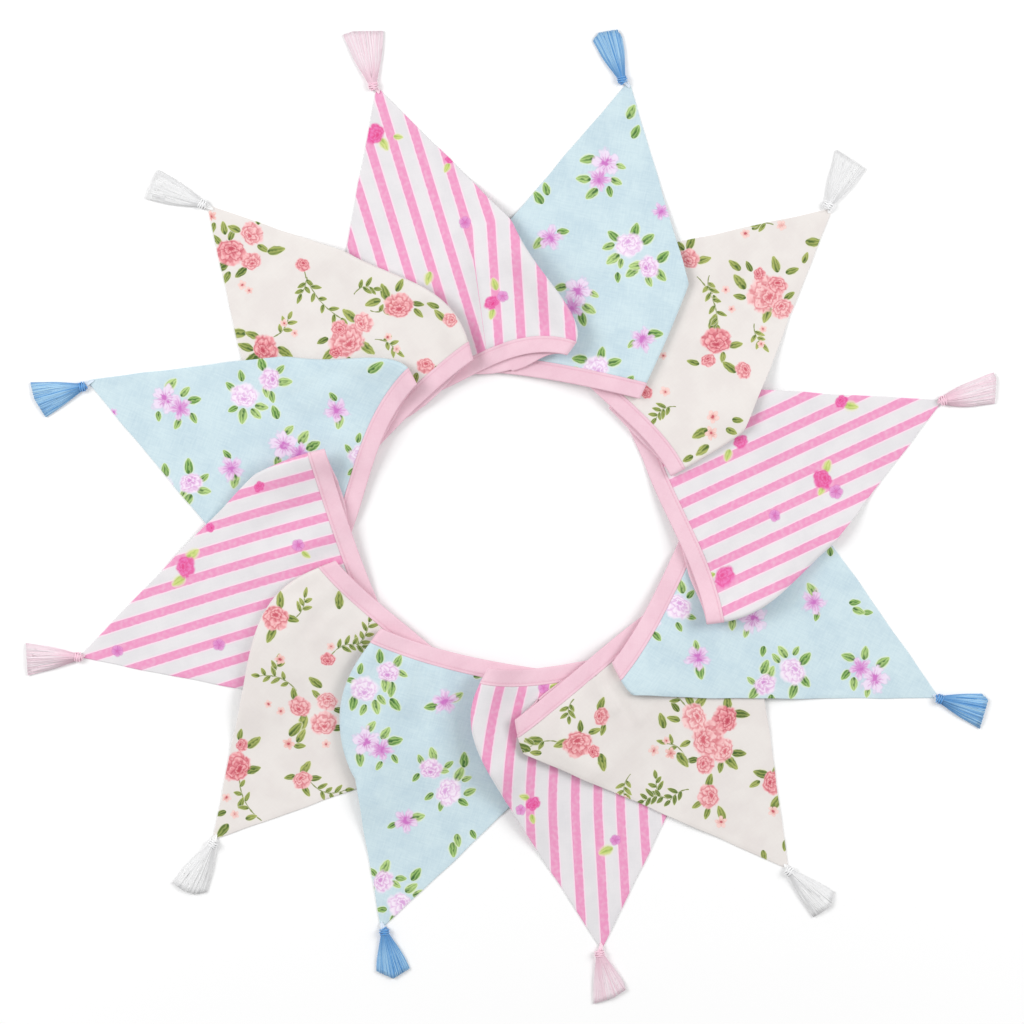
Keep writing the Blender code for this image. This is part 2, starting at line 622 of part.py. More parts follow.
def build():
    for item in list(bpy.data.objects):
        bpy.data.objects.remove(item)
    pennants = [Pennant(row) for row in PENNANTS]
    for index, pennant in enumerate(pennants):
        pennant.trace(FREE_END if index == TAPE_STARTS_AT else TAPE_RUN_ON + pennant.roll)
    lay_returns(pennants)
    pieces = []
    for index, pennant in enumerate(pennants):
        verts, faces = pennant_mesh(pennants, index)
        pieces.append((f"pennant_{index + 1:02d}", verts, faces, pennant.cloth))
    verts, faces = tape_mesh(pennants)
    pieces.append(("binding_tape", verts, faces, "tape"))
    for index, (thread, points, long, fan, curl) in enumerate(TASSELS):
        verts, faces = tassel_mesh(points, long, fan, curl, pennants[index].tip)
        pieces.append((f"tassel_{index + 1:02d}", verts, faces, "thread_" + thread))
    every = np.vstack([verts for _, verts, _, _ in pieces])
    centre = (every.min(axis=0) + every.max(axis=0)) / 2
    centre[2] = 0.0
    for name, verts, faces, material in pieces:
        add_piece(name, verts, faces, material, centre)


build()
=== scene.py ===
import json
import math

import bpy
import numpy as np
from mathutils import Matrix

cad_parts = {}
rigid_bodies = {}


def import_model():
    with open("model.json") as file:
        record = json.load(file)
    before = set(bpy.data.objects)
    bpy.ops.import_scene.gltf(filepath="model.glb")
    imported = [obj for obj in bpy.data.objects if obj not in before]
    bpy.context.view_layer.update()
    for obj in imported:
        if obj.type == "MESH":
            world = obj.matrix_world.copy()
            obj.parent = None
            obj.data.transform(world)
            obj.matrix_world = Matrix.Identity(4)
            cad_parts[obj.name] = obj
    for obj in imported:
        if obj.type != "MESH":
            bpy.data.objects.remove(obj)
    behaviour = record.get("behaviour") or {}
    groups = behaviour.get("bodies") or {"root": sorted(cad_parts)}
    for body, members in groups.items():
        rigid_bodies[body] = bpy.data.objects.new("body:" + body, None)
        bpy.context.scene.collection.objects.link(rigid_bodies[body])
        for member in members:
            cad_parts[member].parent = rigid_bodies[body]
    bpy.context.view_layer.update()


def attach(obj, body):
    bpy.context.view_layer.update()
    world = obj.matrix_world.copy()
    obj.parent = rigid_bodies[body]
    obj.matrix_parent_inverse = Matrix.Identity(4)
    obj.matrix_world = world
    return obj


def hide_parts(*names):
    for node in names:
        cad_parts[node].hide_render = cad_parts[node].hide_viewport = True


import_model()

mm = 0.001
full = 2 * math.pi


# camera, floor and light

view = {
    "centre": (1.05 * mm, 3.15 * mm),   # the place on the floor below the camera
    "wide": 716.8 * mm,                 # floor that the picture shows from side to side
    "away": 4.0,
    "sensor": 36.0,                     # of the camera, mm
    "clipEnd": 50.0,
}
studio = {
    "floor": (0.98, 0.98, 0.98),
    "floorHalf": 3.0,
    "sky": (1.0, 1.0, 1.0),
    "skyPower": 0.52,
    # place, size, power: one lamp at each side
    "lamps": (
        ((-1.7, 0.55, 1.5), 1.1, 26.5),
        ((1.7, 0.55, 1.5), 1.1, 23.5),
    ),
}


def makeCamera():
    data = bpy.data.cameras.new("camera")
    camera = bpy.data.objects.new("camera", data)
    bpy.context.scene.collection.objects.link(camera)
    data.sensor_width = view["sensor"]
    data.lens = view["sensor"] * view["away"] / view["wide"]
    data.clip_end = view["clipEnd"]
    camera.location = (*view["centre"], view["away"])
    bpy.context.scene.camera = camera


def makeStudio():
    world = bpy.data.worlds.new("studio")
    world.use_nodes = True
    sky = world.node_tree.nodes["Background"]
    sky.inputs["Color"].default_value = (*studio["sky"], 1.0)
    sky.inputs["Strength"].default_value = studio["skyPower"]
    bpy.context.scene.world = world
    bpy.context.scene.view_settings.view_transform = "Standard"
    for place, size, power in studio["lamps"]:
        data = bpy.data.lights.new("lamp", "AREA")
        data.size = size
        data.energy = power
        lamp = bpy.data.objects.new("lamp", data)
        lamp.location = place
        # it points at the middle of the floor
        x, y, z = place
        lamp.rotation_euler = (math.atan2(math.hypot(x, y), z), 0.0, math.atan2(y, x) + math.pi / 2)
        bpy.context.scene.collection.objects.link(lamp)
    corners = [(x * studio["floorHalf"], y * studio["floorHalf"], 0)
               for x, y in ((-1, -1), (1, -1), (1, 1), (-1, 1))]
    mesh = bpy.data.meshes.new("floor")
    mesh.from_pydata(corners, [], [(0, 1, 2, 3)])
    floor = bpy.data.objects.new("floor", mesh)
    bpy.context.scene.collection.objects.link(floor)
    return floor


makeCamera()
floor = makeStudio()
print("camera and studio")


# how the pennants lie: the same working-out as the part's source, but for pennant 3's fold, a few
# more soft folds, and the lifts

ring = {
    "centre": (-1.122034 * mm, -0.769768 * mm),   # middle of the whole ring's box, taken off every place
    "layerOuter": 1.7 * mm,     # from sheet to sheet, cloth on cloth
    "layerInner": 2.2 * mm,     # the same where tape lies on tape
    "innerRadius": 185 * mm,
    "outerRadius": 245 * mm,
    "edgeMargin": 6 * mm,       # a sheet is fully raised this far before an edge below
    "edgeRamp": 46 * mm,
    "flapRamp": 34 * mm,
    "rollReach": 24 * mm,
    "bowReach": 55 * mm,
    "overlaps": 4,
    "tracePoints": 13,
    "clothThick": 1.0 * mm,     # the two plies together
    "tapeThick": 1.6 * mm,
    "tapeWide": 12 * mm,
    "tapeClear": 0.05 * mm,
    "seamGap": 0.3 * mm,
    "offFloor": 0.02 * mm,
    "tipWide": 3.2 * mm,
    "tapeRunOn": 7 * mm,
    "freeEnd": 26 * mm,
    "tapeStartsAt": 3,
    "showsAfter": 32 * mm,
    "edgePlaces": (-40 * mm, 0, 40 * mm, 80 * mm),
    "edgeLimits": (-50 * mm, 92 * mm),
}

# clockwise from the top; degrees and millimetres
pennantColumns = ("cloth", "around", "out", "lean", "tall", "half", "edge", "foldFrom", "foldTo",
                  "bow", "bowAt", "roll", "shows")
pennantRows = (
    ("stripe", 107.5, 311.6, 0.4, 209, 28.0, (5, 1.5, -2.5, 13), 114, 71, 15, 0.72, 2.3, 9),
    ("blue", 74.9, 312.1, -3.0, 214, 28.5, (1.5, -1, -1, 0), 127, 53, 1, 0.50, 1.9, 0),
    ("cream", 43.8, 307.7, 3.5, 207, 28.0, (1, -1, -5, 1), 145, 69, 1, 0.5, 1.9, 3),
    ("stripe", 14.9, 309.3, -9.9, 206, 28.0, (0, 0.5, 1.5, 10), 109, 72, 11, 0.60, 2.2, 3),
    ("blue", -23.1, 321.9, 4.4, 203, 28.0, (7, 5.5, 4.5, 8), 180, 83, 1, 0.50, 1.9, 0),
    ("cream", -52.0, 311.4, 1.0, 200, 29.0, (0, 0, -2, -3.5), 176, 89, 1, 0.50, 1.9, 2),
    ("stripe", -78.3, 307.7, 8.4, 198, 29.5, (5, 2, -1.5, 5), 102, 67, 18, 0.55, 2.2, 0),
    ("blue", -107.6, 300.7, 1.2, 195, 28.5, (9, 3, 0.5, 3), 91, 67, 19, 0.45, 2.2, 0),
    ("cream", -132.7, 306.4, -1.8, 199, 29.5, (1, 0.5, 0.5, 6), 92, 62, 20, 0.52, 2.2, 0),
    ("stripe", -161.9, 316.0, 0.8, 202, 29.0, (8, 4.5, 3, 3), 150, 87, 2, 0.55, 2.2, 3),
    ("blue", 162.4, 309.8, 4.1, 201, 29.0, (8, 6, 4, 11.5), 118, 82, 14, 0.72, 2.2, 2),
    ("cream", 134.5, 301.7, 2.8, 199, 29.5, (6, 2.5, 1.5, 5), 87, 66, 18, 0.60, 2.2, 3),
)
# soft folds: pennant, from, to, height, half width; places are across and along from the tip
ridgeRows = (
    (1, (34, 112), (19, 196), 3.0, 8),
    (4, (16, 150), (22, 192), 1.6, 9),
    (4, (50, 146), (52, 190), 1.4, 9),
    (6, (31, 162), (27, 188), 2.2, 4.5),
    (6, (20, 146), (15, 172), 1.6, 5),
    (6, (56, 150), (52, 184), 1.2, 9),
    (8, (4, 152), (12, 184), 1.5, 7),
    (8, (24, 150), (34, 182), 1.8, 7),
    (9, (8, 146), (12, 186), 1.5, 9),
    (9, (38, 140), (44, 186), 1.8, 9),
    (10, (26, 148), (30, 188), 1.5, 9),
    (10, (58, 150), (62, 190), 1.4, 9),
    (12, (20, 150), (24, 186), 1.2, 9),
    # folds that are pressed flatter
    (2, (69, 132), (50, 213), -1.3, 9),
    (3, (77, 150), (68, 206), -1.2, 8),
    (5, (95, 183), (80, 203), -1.0, 8),
)
# where a fold or a corner stands off the cloth below: pennant, from, to, height, reach
liftRows = (
    (1, (66, 138), (68, 208), 8.0, 16),
    (4, (66, 160), (68, 205), 7.5, 16),
    (6, (68, 137), (85, 196), 4.5, 12),
    (7, (62, 125), (64, 196), 9.5, 19),
    (8, (60, 150), (63, 194), 2.5, 13),
    (10, (84, 168), (84, 201), 8.5, 16),
    (11, (76, 165), (79, 200), 3.5, 13),
    (12, (60, 145), (63, 198), 5.5, 14),
)


def smooth(x):
    # 0 below 0, 1 above 1, an S curve between
    x = np.clip(x, 0.0, 1.0)
    return x * x * (3.0 - 2.0 * x)


def lineDistance(points, line):
    # least distance from each point to a line's straight runs
    start, run = line[:-1], line[1:] - line[:-1]
    offset = points[:, None, :] - start
    along = np.clip((offset * run).sum(axis=2) / np.maximum((run * run).sum(axis=1), 1e-12), 0.0, 1.0)
    gap = offset - along[:, :, None] * run
    return np.sqrt((gap * gap).sum(axis=2).min(axis=1))


def outsideDistance(points, outline):
    # distance to a closed outline, 0 within it, by how often a level line crosses the outline
    a, b = outline, np.roll(outline, -1, axis=0)
    x, y = points[:, 0:1], points[:, 1:2]
    slope = (b[:, 0] - a[:, 0]) / np.where(a[:, 1] == b[:, 1], 1e-12, b[:, 1] - a[:, 1])
    crossed = ((a[:, 1] > y) != (b[:, 1] > y)) & (x < a[:, 0] + (y - a[:, 1]) * slope)
    within = crossed.sum(axis=1) % 2 == 1
    return np.where(within, 0.0, lineDistance(points, np.vstack([outline, outline[:1]])))


def softLines(number, rows):
    # a pennant's own rows: a line, its height and its half width
    return [(np.array((low, high)) * mm, height * mm, wide * mm)
            for which, low, high, height, wide in rows if which == number]


def softRise(points, lines):
    # how high soft lines lift each point
    rise = np.zeros(len(points))
    for line, height, wide in lines:
        rise += height * np.exp(-(lineDistance(points, line) / wide) ** 2)
    return rise


def outwardShare(plan):
    radius = np.hypot(plan[:, 0], plan[:, 1])
    return smooth((radius - ring["innerRadius"]) / (ring["outerRadius"] - ring["innerRadius"]))


def layerPitch(plan):
    return ring["layerInner"] + (ring["layerOuter"] - ring["layerInner"]) * outwardShare(plan)


def floorLevel(plan):
    # middle of a sheet that lies on the floor, a little higher where the tape is
    raised = (ring["tapeThick"] - ring["clothThick"]) / 2 + ring["tapeClear"]
    return ring["clothThick"] / 2 + raised * (1.0 - outwardShare(plan))


class Pennant:
    # flat places are across from the axis, clockwise, and along it from the tip

    def __init__(self, number, row):
        given = dict(zip(pennantColumns, row))
        self.number, self.cloth, self.bowAt = number, given["cloth"], given["bowAt"]
        self.tall, self.bow, self.roll, self.shows = (given[k] * mm for k in ("tall", "bow", "roll", "shows"))
        self.slope = math.tan(math.radians(given["half"]))
        self.edge = np.polyfit(ring["edgePlaces"], np.array(given["edge"]) * mm, 3)
        around = math.radians(given["around"])
        heading = around + math.pi - math.radians(given["lean"])
        self.tip = given["out"] * mm * np.array((math.cos(around), math.sin(around)))
        self.inwards = np.array((math.cos(heading), math.sin(heading)))
        self.clockwise = np.array((-self.inwards[1], self.inwards[0]))
        self.clothEnd = self.tall - ring["tapeWide"] - ring["seamGap"]
        self.foldFrom = given["foldFrom"] * mm
        self.foldStart = self.halfWidth(self.foldFrom)
        self.foldSlope = (given["foldTo"] * mm - self.foldStart) / (self.tall - self.foldFrom)

    def halfWidth(self, along):
        return ring["tipWide"] / 2 + along * self.slope

    def foldAcross(self, along):
        return self.foldStart + (along - self.foldFrom) * self.foldSlope - self.roll

    def sideAt(self, past):
        along = self.foldFrom + (past - self.roll) / (self.slope - self.foldSlope)
        return self.halfWidth(along), along

    def bowed(self, reach, along):
        # how far the bow of the fold moves cloth that lies a reach from it
        lengthwise = np.clip((along - self.foldFrom) / (self.tall - self.foldFrom), 0.0, 1.0)
        bump = np.sin(math.pi * lengthwise ** (math.log(0.5) / math.log(self.bowAt)))
        return self.bow * bump * np.exp(-(reach / ring["bowReach"]) ** 2)

    def printed(self, flat):
        # the print runs straight through the bow
        past = flat[:, 0] - self.foldAcross(flat[:, 1])
        return flat + np.outer(self.bowed(past, flat[:, 1]), (1.0, 0.0))

    def toPlan(self, flat):
        # before the fold as cut; then round a half circle of the roll's radius; then back beneath
        across, along = flat[:, 0], flat[:, 1]
        past = across - self.foldAcross(along)
        turned = np.clip(past / self.roll, 0.0, math.pi)
        beyond = np.maximum(past - math.pi * self.roll, 0.0)
        reach = np.where(past < 0, past, self.roll * np.sin(turned) - beyond)
        share = (1.0 + np.cos(turned)) / 2
        across = across - past + reach + self.bowed(reach, along)
        down = np.clip(along / self.tall, 0.0, 1.1)
        dip = np.polyval(self.edge, np.clip(across, *ring["edgeLimits"])) * down ** 2
        dip += self.shows * smooth(beyond / ring["showsAfter"]) * down ** 6
        return self.tip + np.outer(across, self.clockwise) + np.outer(along + dip, self.inwards), share

    def plan(self, *flat):
        return self.toPlan(np.array(flat, dtype=float))[0]

    def trace(self, runOn):
        # outline, fold, turned corner and ridges in plan, which raise what lies above
        steps = np.linspace(0.0, 1.0, ring["tracePoints"])[:, None]
        start = np.array(self.sideAt(0.0))
        end = np.array((self.foldAcross(self.tall), self.tall))
        fold = start + steps * (end - start)
        corner = np.array((self.halfWidth(self.tall), self.tall))
        hidden = np.array((-self.halfWidth(self.tall) - runOn, self.tall))
        tip = np.array(((-ring["tipWide"] / 2, 0.0), (ring["tipWide"] / 2, 0.0)))
        self.outline = self.toPlan(np.vstack([tip, fold, end + steps[1:] * (hidden - end)]))[0]
        self.foldLine = self.toPlan(fold)[0]
        turned = np.vstack([end + steps * (corner - end), corner + steps * (start - corner)])
        self.cornerOutline = np.vstack([self.foldLine[:-1], self.toPlan(turned)[0]])
        self.ridgeLines, self.liftLines = (
            [(self.toPlan(low + steps * (high - low))[0], height, wide)
             for (low, high), height, wide in softLines(self.number, rows)]
            for rows in (ridgeRows, liftRows))

    def lift(self, plan):
        # the sheet and its turned corner together stand off what is below
        return softRise(plan, self.liftLines)

    def swell(self, plan):
        # full height over the turned corner and doubled tape, rounded at the fold, plus the ridges
        below = outsideDistance(plan, self.cornerOutline)
        besideTape = lineDistance(plan, self.returnLine) - ring["tapeWide"] / 2
        below = np.minimum(below, np.maximum(besideTape, 0.0))
        pitch = layerPitch(plan)
        covered = 1.0 - smooth((below - ring["edgeMargin"]) / ring["flapRamp"])
        rounding = np.exp(-(lineDistance(plan, self.foldLine) / ring["rollReach"]) ** 2)
        return pitch * covered + (2 * self.roll - pitch) * rounding + softRise(plan, self.ridgeLines)


def neighbour(pennant, step):
    return pennants[(pennant.number - 1 + step) % len(pennants)]


def lowerLevel(pennant, plan):
    # a pennant's turned corner lies on all the pennants below it
    level, pitch = floorLevel(plan), layerPitch(plan)
    for step in range(1, ring["overlaps"] + 1):
        other = neighbour(pennant, step)
        apart = outsideDistance(plan, other.outline)
        level += pitch * (1.0 - smooth((apart - ring["edgeMargin"]) / ring["edgeRamp"]))
        level += other.swell(plan) + other.lift(plan)
    return level


def sheetLevel(pennant, plan, share):
    # a sheet rises over its own turned corner, which lies beneath it and so has no share in that
    return lowerLevel(pennant, plan) + pennant.lift(plan) + share * pennant.swell(plan)


def placed(pennant, flat):
    plan, share = pennant.toPlan(flat)
    return np.column_stack([plan, sheetLevel(pennant, plan, share)])


def unit(vectors):
    return vectors / np.maximum(np.linalg.norm(vectors, axis=-1, keepdims=True), 1e-15)


def layReturn(pennant):
    # a cubic curve from the turned corner's tape to the next pennant's hidden corner
    wide = pennant.halfWidth(pennant.tall)
    outer, inner = (pennant.plan((wide - mm, along), (wide, along))
                    for along in (pennant.tall - ring["tapeWide"], pennant.tall))
    start = (outer[1] + inner[1]) / 2
    startWay = unit(start - (outer[0] + inner[0]) / 2)
    following = neighbour(pennant, 1)
    if following.number - 1 == ring["tapeStartsAt"]:
        end, endWay = start + startWay * ring["freeEnd"], startWay
    else:
        hidden = -following.halfWidth(following.tall) - ring["tapeRunOn"]
        middle = following.tall - ring["tapeWide"] / 2
        end, before = following.plan((hidden, middle), (hidden + mm, middle))
        endWay = unit(end - before)
    reach = np.linalg.norm(end - start)
    pull = tape["pull"] * reach

    def curve(count):
        t = np.linspace(0.0, 1.0, count + 1)[:, None]
        line = ((1 - t) ** 3 * start + 3 * (1 - t) ** 2 * t * (start + startWay * pull)
                + 3 * (1 - t) * t ** 2 * (end - endWay * pull) + t ** 3 * end)
        way = unit(np.gradient(line, axis=0))
        side = np.column_stack([-way[:, 1], way[:, 0]])
        side *= np.sign((outer[1] - inner[1]) @ side[0])
        return line, line + side * ring["tapeWide"] / 2, line - side * ring["tapeWide"] / 2

    pennant.returnLine = curve(max(3, round(reach / tape["coarseStep"])))[0]
    pennant.returnSides = [edge[1:] for edge in curve(round(reach / tape["step"]))[1:]]


tape = {
    "step": 2.0 * mm,           # along the tape
    "coarseStep": 10 * mm,      # along the line that lifts what lies on the tape's return
    "turnSteps": 12,            # round each fold
    "pull": 0.42,               # how far the return runs straight on at its ends, of its reach
    "lip": 1.1 * mm,            # how far the cloth goes in between the two turned edges
    # one half of the folded tape's section, from the fold at the hole to the turned edge: across, height
    "section": ((0.0, 0.10), (0.05, 0.38), (0.28, 0.62), (0.75, 0.76), (1.6, 0.80), (3.6, 0.79),
                (6.2, 0.77), (8.6, 0.75), (9.5, 0.71), (9.9, 0.62), (10.2, 0.61), (10.6, 0.69),
                (11.2, 0.735), (11.7, 0.70), (11.95, 0.60), (12.0, 0.48), (11.8, 0.40), (10.9, 0.34)),
}

pennants = [Pennant(number, row) for number, row in enumerate(pennantRows, 1)]
for pennant in pennants:
    startsTape = pennant.number - 1 == ring["tapeStartsAt"]
    pennant.trace(ring["freeEnd"] if startsTape else ring["tapeRunOn"] + pennant.roll)
for pennant in pennants:
    layReturn(pennant)
print("twelve pennants laid out")


# pieces

def addPiece(name, verts, faces, stands, slot, material):
    # an object of quads and triangles with one material, riding on the part's one body
    mesh = bpy.data.meshes.new(name)
    verts = np.array(verts, dtype=float)
    verts[:, :2] -= ring["centre"]
    verts[:, 2] = np.maximum(verts[:, 2], ring["offFloor"])
    mesh.from_pydata(verts.tolist(), [], [tuple(face) for face in faces])
    mesh.shade_smooth()
    piece = bpy.data.objects.new(name, mesh)
    bpy.context.scene.collection.objects.link(piece)
    mesh.materials.append(material)
    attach(piece, "root")
    if stands:
        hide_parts(stands)
    return piece


def gridFaces(rows, columns):
    # quads between neighbouring rows and columns of a grid of points
    i, j = np.meshgrid(np.arange(rows - 1), np.arange(columns - 1), indexing="ij")
    a = (i * columns + j).ravel()
    return np.column_stack([a, a + 1, a + columns + 1, a + columns])


def tubeFaces(rings, sides, closed=False):
    # quads round a tube from ring to ring, and a cap for each end unless the last ring meets the first
    i, j = np.meshgrid(np.arange(rings if closed else rings - 1), np.arange(sides), indexing="ij")
    here, further, beside = i * sides, (i + 1) % rings * sides, (j + 1) % sides
    quads = np.stack([here + j, here + beside, further + beside, further + j], axis=2).reshape(-1, 4)
    caps = np.stack([np.arange(sides)[::-1], np.arange(sides) + (rings - 1) * sides])
    return quads, caps[:0] if closed else caps


def copied(faces, copies, points):
    # the same faces for each of a run of equal shells
    first = (np.arange(copies) * points)[:, None, None]
    return list((first + faces[None]).reshape(-1, faces.shape[1]))


clothMesh = {
    "rowStep": 2.0 * mm,
    "bodyColumns": 58,
    "turnColumns": 12,
    "cornerColumns": 20,
    "edge": (0.0, 0.07, 0.22, 0.45, 0.8),       # lines beside a cut edge, mm in from it
    "rim": 0.64,                                # the cloth's edge is rounded this far in, mm
    "seamIn": 5.5, "seamEase": 1.2,             # the seam allowance inside ends here, mm in
    "thin": 0.40, "thick": 0.47,                # half thickness, mm, without and with the allowance
    "gather": 0.22, "gatherPitch": 17.0, "gatherDown": 26.0,     # puckers beside the tape, mm
    "drift": 0.14,                              # how uneven the cloth lies, mm
    "driftWaves": (19.0, 27.0, 11.0, 8.0),      # across, along and the two slants, mm for each radian
    "hemWobble": 0.25,                          # how uneven a long side runs, mm
    "hemWaves": (9.0, 4.1), "hemFrom": 30.0,    # mm for each radian; it grows over this much from the tip
    "hemNear": 7,                               # power of the share of the half width: only the side moves
    "clear": (2 * mm, 14 * mm),                 # creases start this far from what lies on top, and grow over
    "heldBy": (3.0, 12.0, 3.0),                 # how near the side, the tip and the tape hold them flat, mm
    "turnRoom": 2.0 * mm, "cornerRoom": 1.0 * mm,       # least width of the turn's and corner's columns
}
# sharp creases that only this scene has: pennant, from, to, height, half width, in mm
creaseRows = (
    (1, (6, 150), (-4, 196), 0.5, 5.0),
    (4, (2, 160), (4, 192), 0.5, 5.0),
    (6, (24, 150), (21, 186), -0.8, 3.5),
    (11, (36, 128), (62, 152), -0.7, 5.0),
    (8, (14, 150), (22, 182), 0.6, 3.5),
    (8, (36, 150), (46, 182), 0.5, 3.0),
    (9, (24, 150), (28, 186), 0.6, 3.5),
    (10, (42, 150), (46, 188), 0.5, 4.0),
)


pleat = {
    "pennant": 1, "from": (33.0, 112.0), "to": (19.0, 198.0),   # its line on the print, mm
    "hidden": 20.0,             # cloth that it swallows at the tape, mm
    "height": 1.5, "steep": 0.9, "gentle": 6.5,                 # of its step, on the left and on the right
}


def besidePleat(flat):
    # how far to the right of the pleat's line a place lies, and how far down the line, 0 to 1
    low, high = np.array(pleat["from"]), np.array(pleat["to"])
    down = np.clip((flat[:, 1] - low[1]) / (high[1] - low[1]), 0.0, 1.0)
    return flat[:, 0] - (low[0] + (high[0] - low[0]) * down), down


def clothFlat(pennant):
    # rows run across, close together at the tip; the last columns stay with the fold, and gather
    # into a narrow strip beside the long side where the cloth isn't turned yet
    inset = np.array(clothMesh["edge"]) * mm
    end = pennant.clothEnd + tape["lip"]
    steps = round(end / clothMesh["rowStep"])
    rows = np.concatenate([inset, np.linspace(inset[-1], end - inset[2], steps)[1:], [end]])
    half = pennant.halfWidth(rows)
    narrow = np.clip(half / (20 * mm), 0.15, 1.0)
    fold = pennant.foldAcross(rows)
    last = half - inset[-1]
    second = np.minimum(fold + math.pi * pennant.roll, last - clothMesh["cornerRoom"] * narrow)
    first = np.minimum(fold, second - clothMesh["turnRoom"] * narrow)

    def between(low, high, count):
        return low[:, None] + (high - low)[:, None] * np.linspace(0.0, 1.0, count + 1)[None, 1:]

    left = -half[:, None] + inset[None, :]
    body = between(left[:, -1], first, clothMesh["bodyColumns"])
    turn = between(first, second, clothMesh["turnColumns"])
    corner = between(second, last, clothMesh["cornerColumns"])
    right = half[:, None] - inset[None, ::-1][:, 1:]
    across = np.hstack([left, body, turn, corner, right])
    return np.stack([across, np.repeat(rows[:, None], across.shape[1], axis=1)], axis=2)


def relief(pennant, flat, plan, share):
    # creases, puckers and drift, only where nothing lies on the cloth and it isn't turned under
    number = pennant.number
    across, along = flat[:, 0] / mm, flat[:, 1] / mm
    clearFrom, clearOver = clothMesh["clear"]
    free = np.full(len(flat), 1.0)
    for step in range(1, ring["overlaps"]):
        outline = neighbour(pennant, -step).outline
        free = np.minimum(free, smooth((outsideDistance(plan, outline) - clearFrom) / clearOver))
    up = softRise(flat, softLines(number, creaseRows)) / mm
    if number == pleat["pennant"]:
        beside, down = besidePleat(pennant.printed(flat) / mm)
        wide = np.where(beside < 0, pleat["steep"], pleat["gentle"])
        up += pleat["height"] * smooth(down * 3) * np.exp(-(beside / wide) ** 2)
    toTape = pennant.clothEnd / mm - along
    gather = np.sin(across / clothMesh["gatherPitch"] * full + 1.3 * np.sin(across / 23.0 + number))
    up += clothMesh["gather"] * (0.6 + gather) * np.exp(-np.maximum(toTape, 0) / clothMesh["gatherDown"])
    # waves of unlike length that cross one another
    wide, tall, rising, falling = clothMesh["driftWaves"]
    drift = (np.sin(across / wide + 1.7 * number) * np.sin(along / tall + 0.6 * number)
             + 0.6 * np.sin((across + along) / rising + number)
             + 0.5 * np.sin((along - across) / falling + 2 * number))
    up += clothMesh["drift"] * (1.2 + drift)
    side = (pennant.halfWidth(flat[:, 1]) - np.abs(flat[:, 0])) / mm
    for gap, least in zip((side, along, toTape), clothMesh["heldBy"]):
        up *= smooth(gap / least)
    return up * free * share ** 2 * mm


def clothShell(pennant):
    # two faces either side of the sheet's middle, which meet all round: the half thickness grows
    # from the cut edge as a quarter circle does, and is fuller over the seam allowance
    flat = clothFlat(pennant)
    rows, columns = flat.shape[:2]
    line = flat.reshape(-1, 2)
    plan, share = pennant.toPlan(line)
    level = sheetLevel(pennant, plan, share) + relief(pennant, line, plan, share)
    across, along = line[:, 0] / mm, line[:, 1] / mm
    half = pennant.halfWidth(line[:, 1]) / mm
    # the long sides run a little uneven, and only close to them
    long, short = clothMesh["hemWaves"]
    wobble = clothMesh["hemWobble"] * (np.sin(along / long + pennant.number) + 0.5 * np.sin(along / short))
    wobble *= (across / half) ** clothMesh["hemNear"] * smooth(along / clothMesh["hemFrom"]) * share * mm
    plan = plan + np.outer(wobble, pennant.clockwise)
    middle = np.column_stack([plan, level]).reshape(rows, columns, 3)
    normal = unit(np.cross(np.gradient(middle, axis=0), np.gradient(middle, axis=1)))
    normal *= np.sign(normal[rows // 3, columns // 3, 2])
    side = np.minimum(half - np.abs(across), along)
    inwards = np.clip(side / clothMesh["rim"], 0.0, 1.0)
    seam = 1.0 - smooth((side - clothMesh["seamIn"]) / clothMesh["seamEase"])
    tall = clothMesh["thin"] + (clothMesh["thick"] - clothMesh["thin"]) * seam
    tall = (tall * np.sqrt(1.0 - (1.0 - inwards) ** 2)).reshape(rows, columns) * mm
    tall[-1] = 0.0
    offset = normal * tall[:, :, None]
    # the rim's points are shared, so only the inner ones get a twin on the underside
    index = np.arange(rows * columns).reshape(rows, columns)
    under = index.copy()
    inner = np.zeros((rows, columns), dtype=bool)
    inner[1:-1, 1:-1] = True
    under[inner] = rows * columns + np.arange(inner.sum())
    verts = np.vstack([(middle + offset).reshape(-1, 3), (middle - offset)[inner]])
    quads = gridFaces(rows, columns)
    top, bottom = quads[:, ::-1], under.ravel()[quads]
    a, b, c = (verts[top[len(top) // 3, k]] for k in range(3))
    if np.cross(b - a, c - b)[2] < 0:
        top, bottom = top[:, ::-1], bottom[:, ::-1]
    return verts, np.vstack([top, bottom]), np.vstack([line, line.reshape(rows, columns, 2)[inner]])


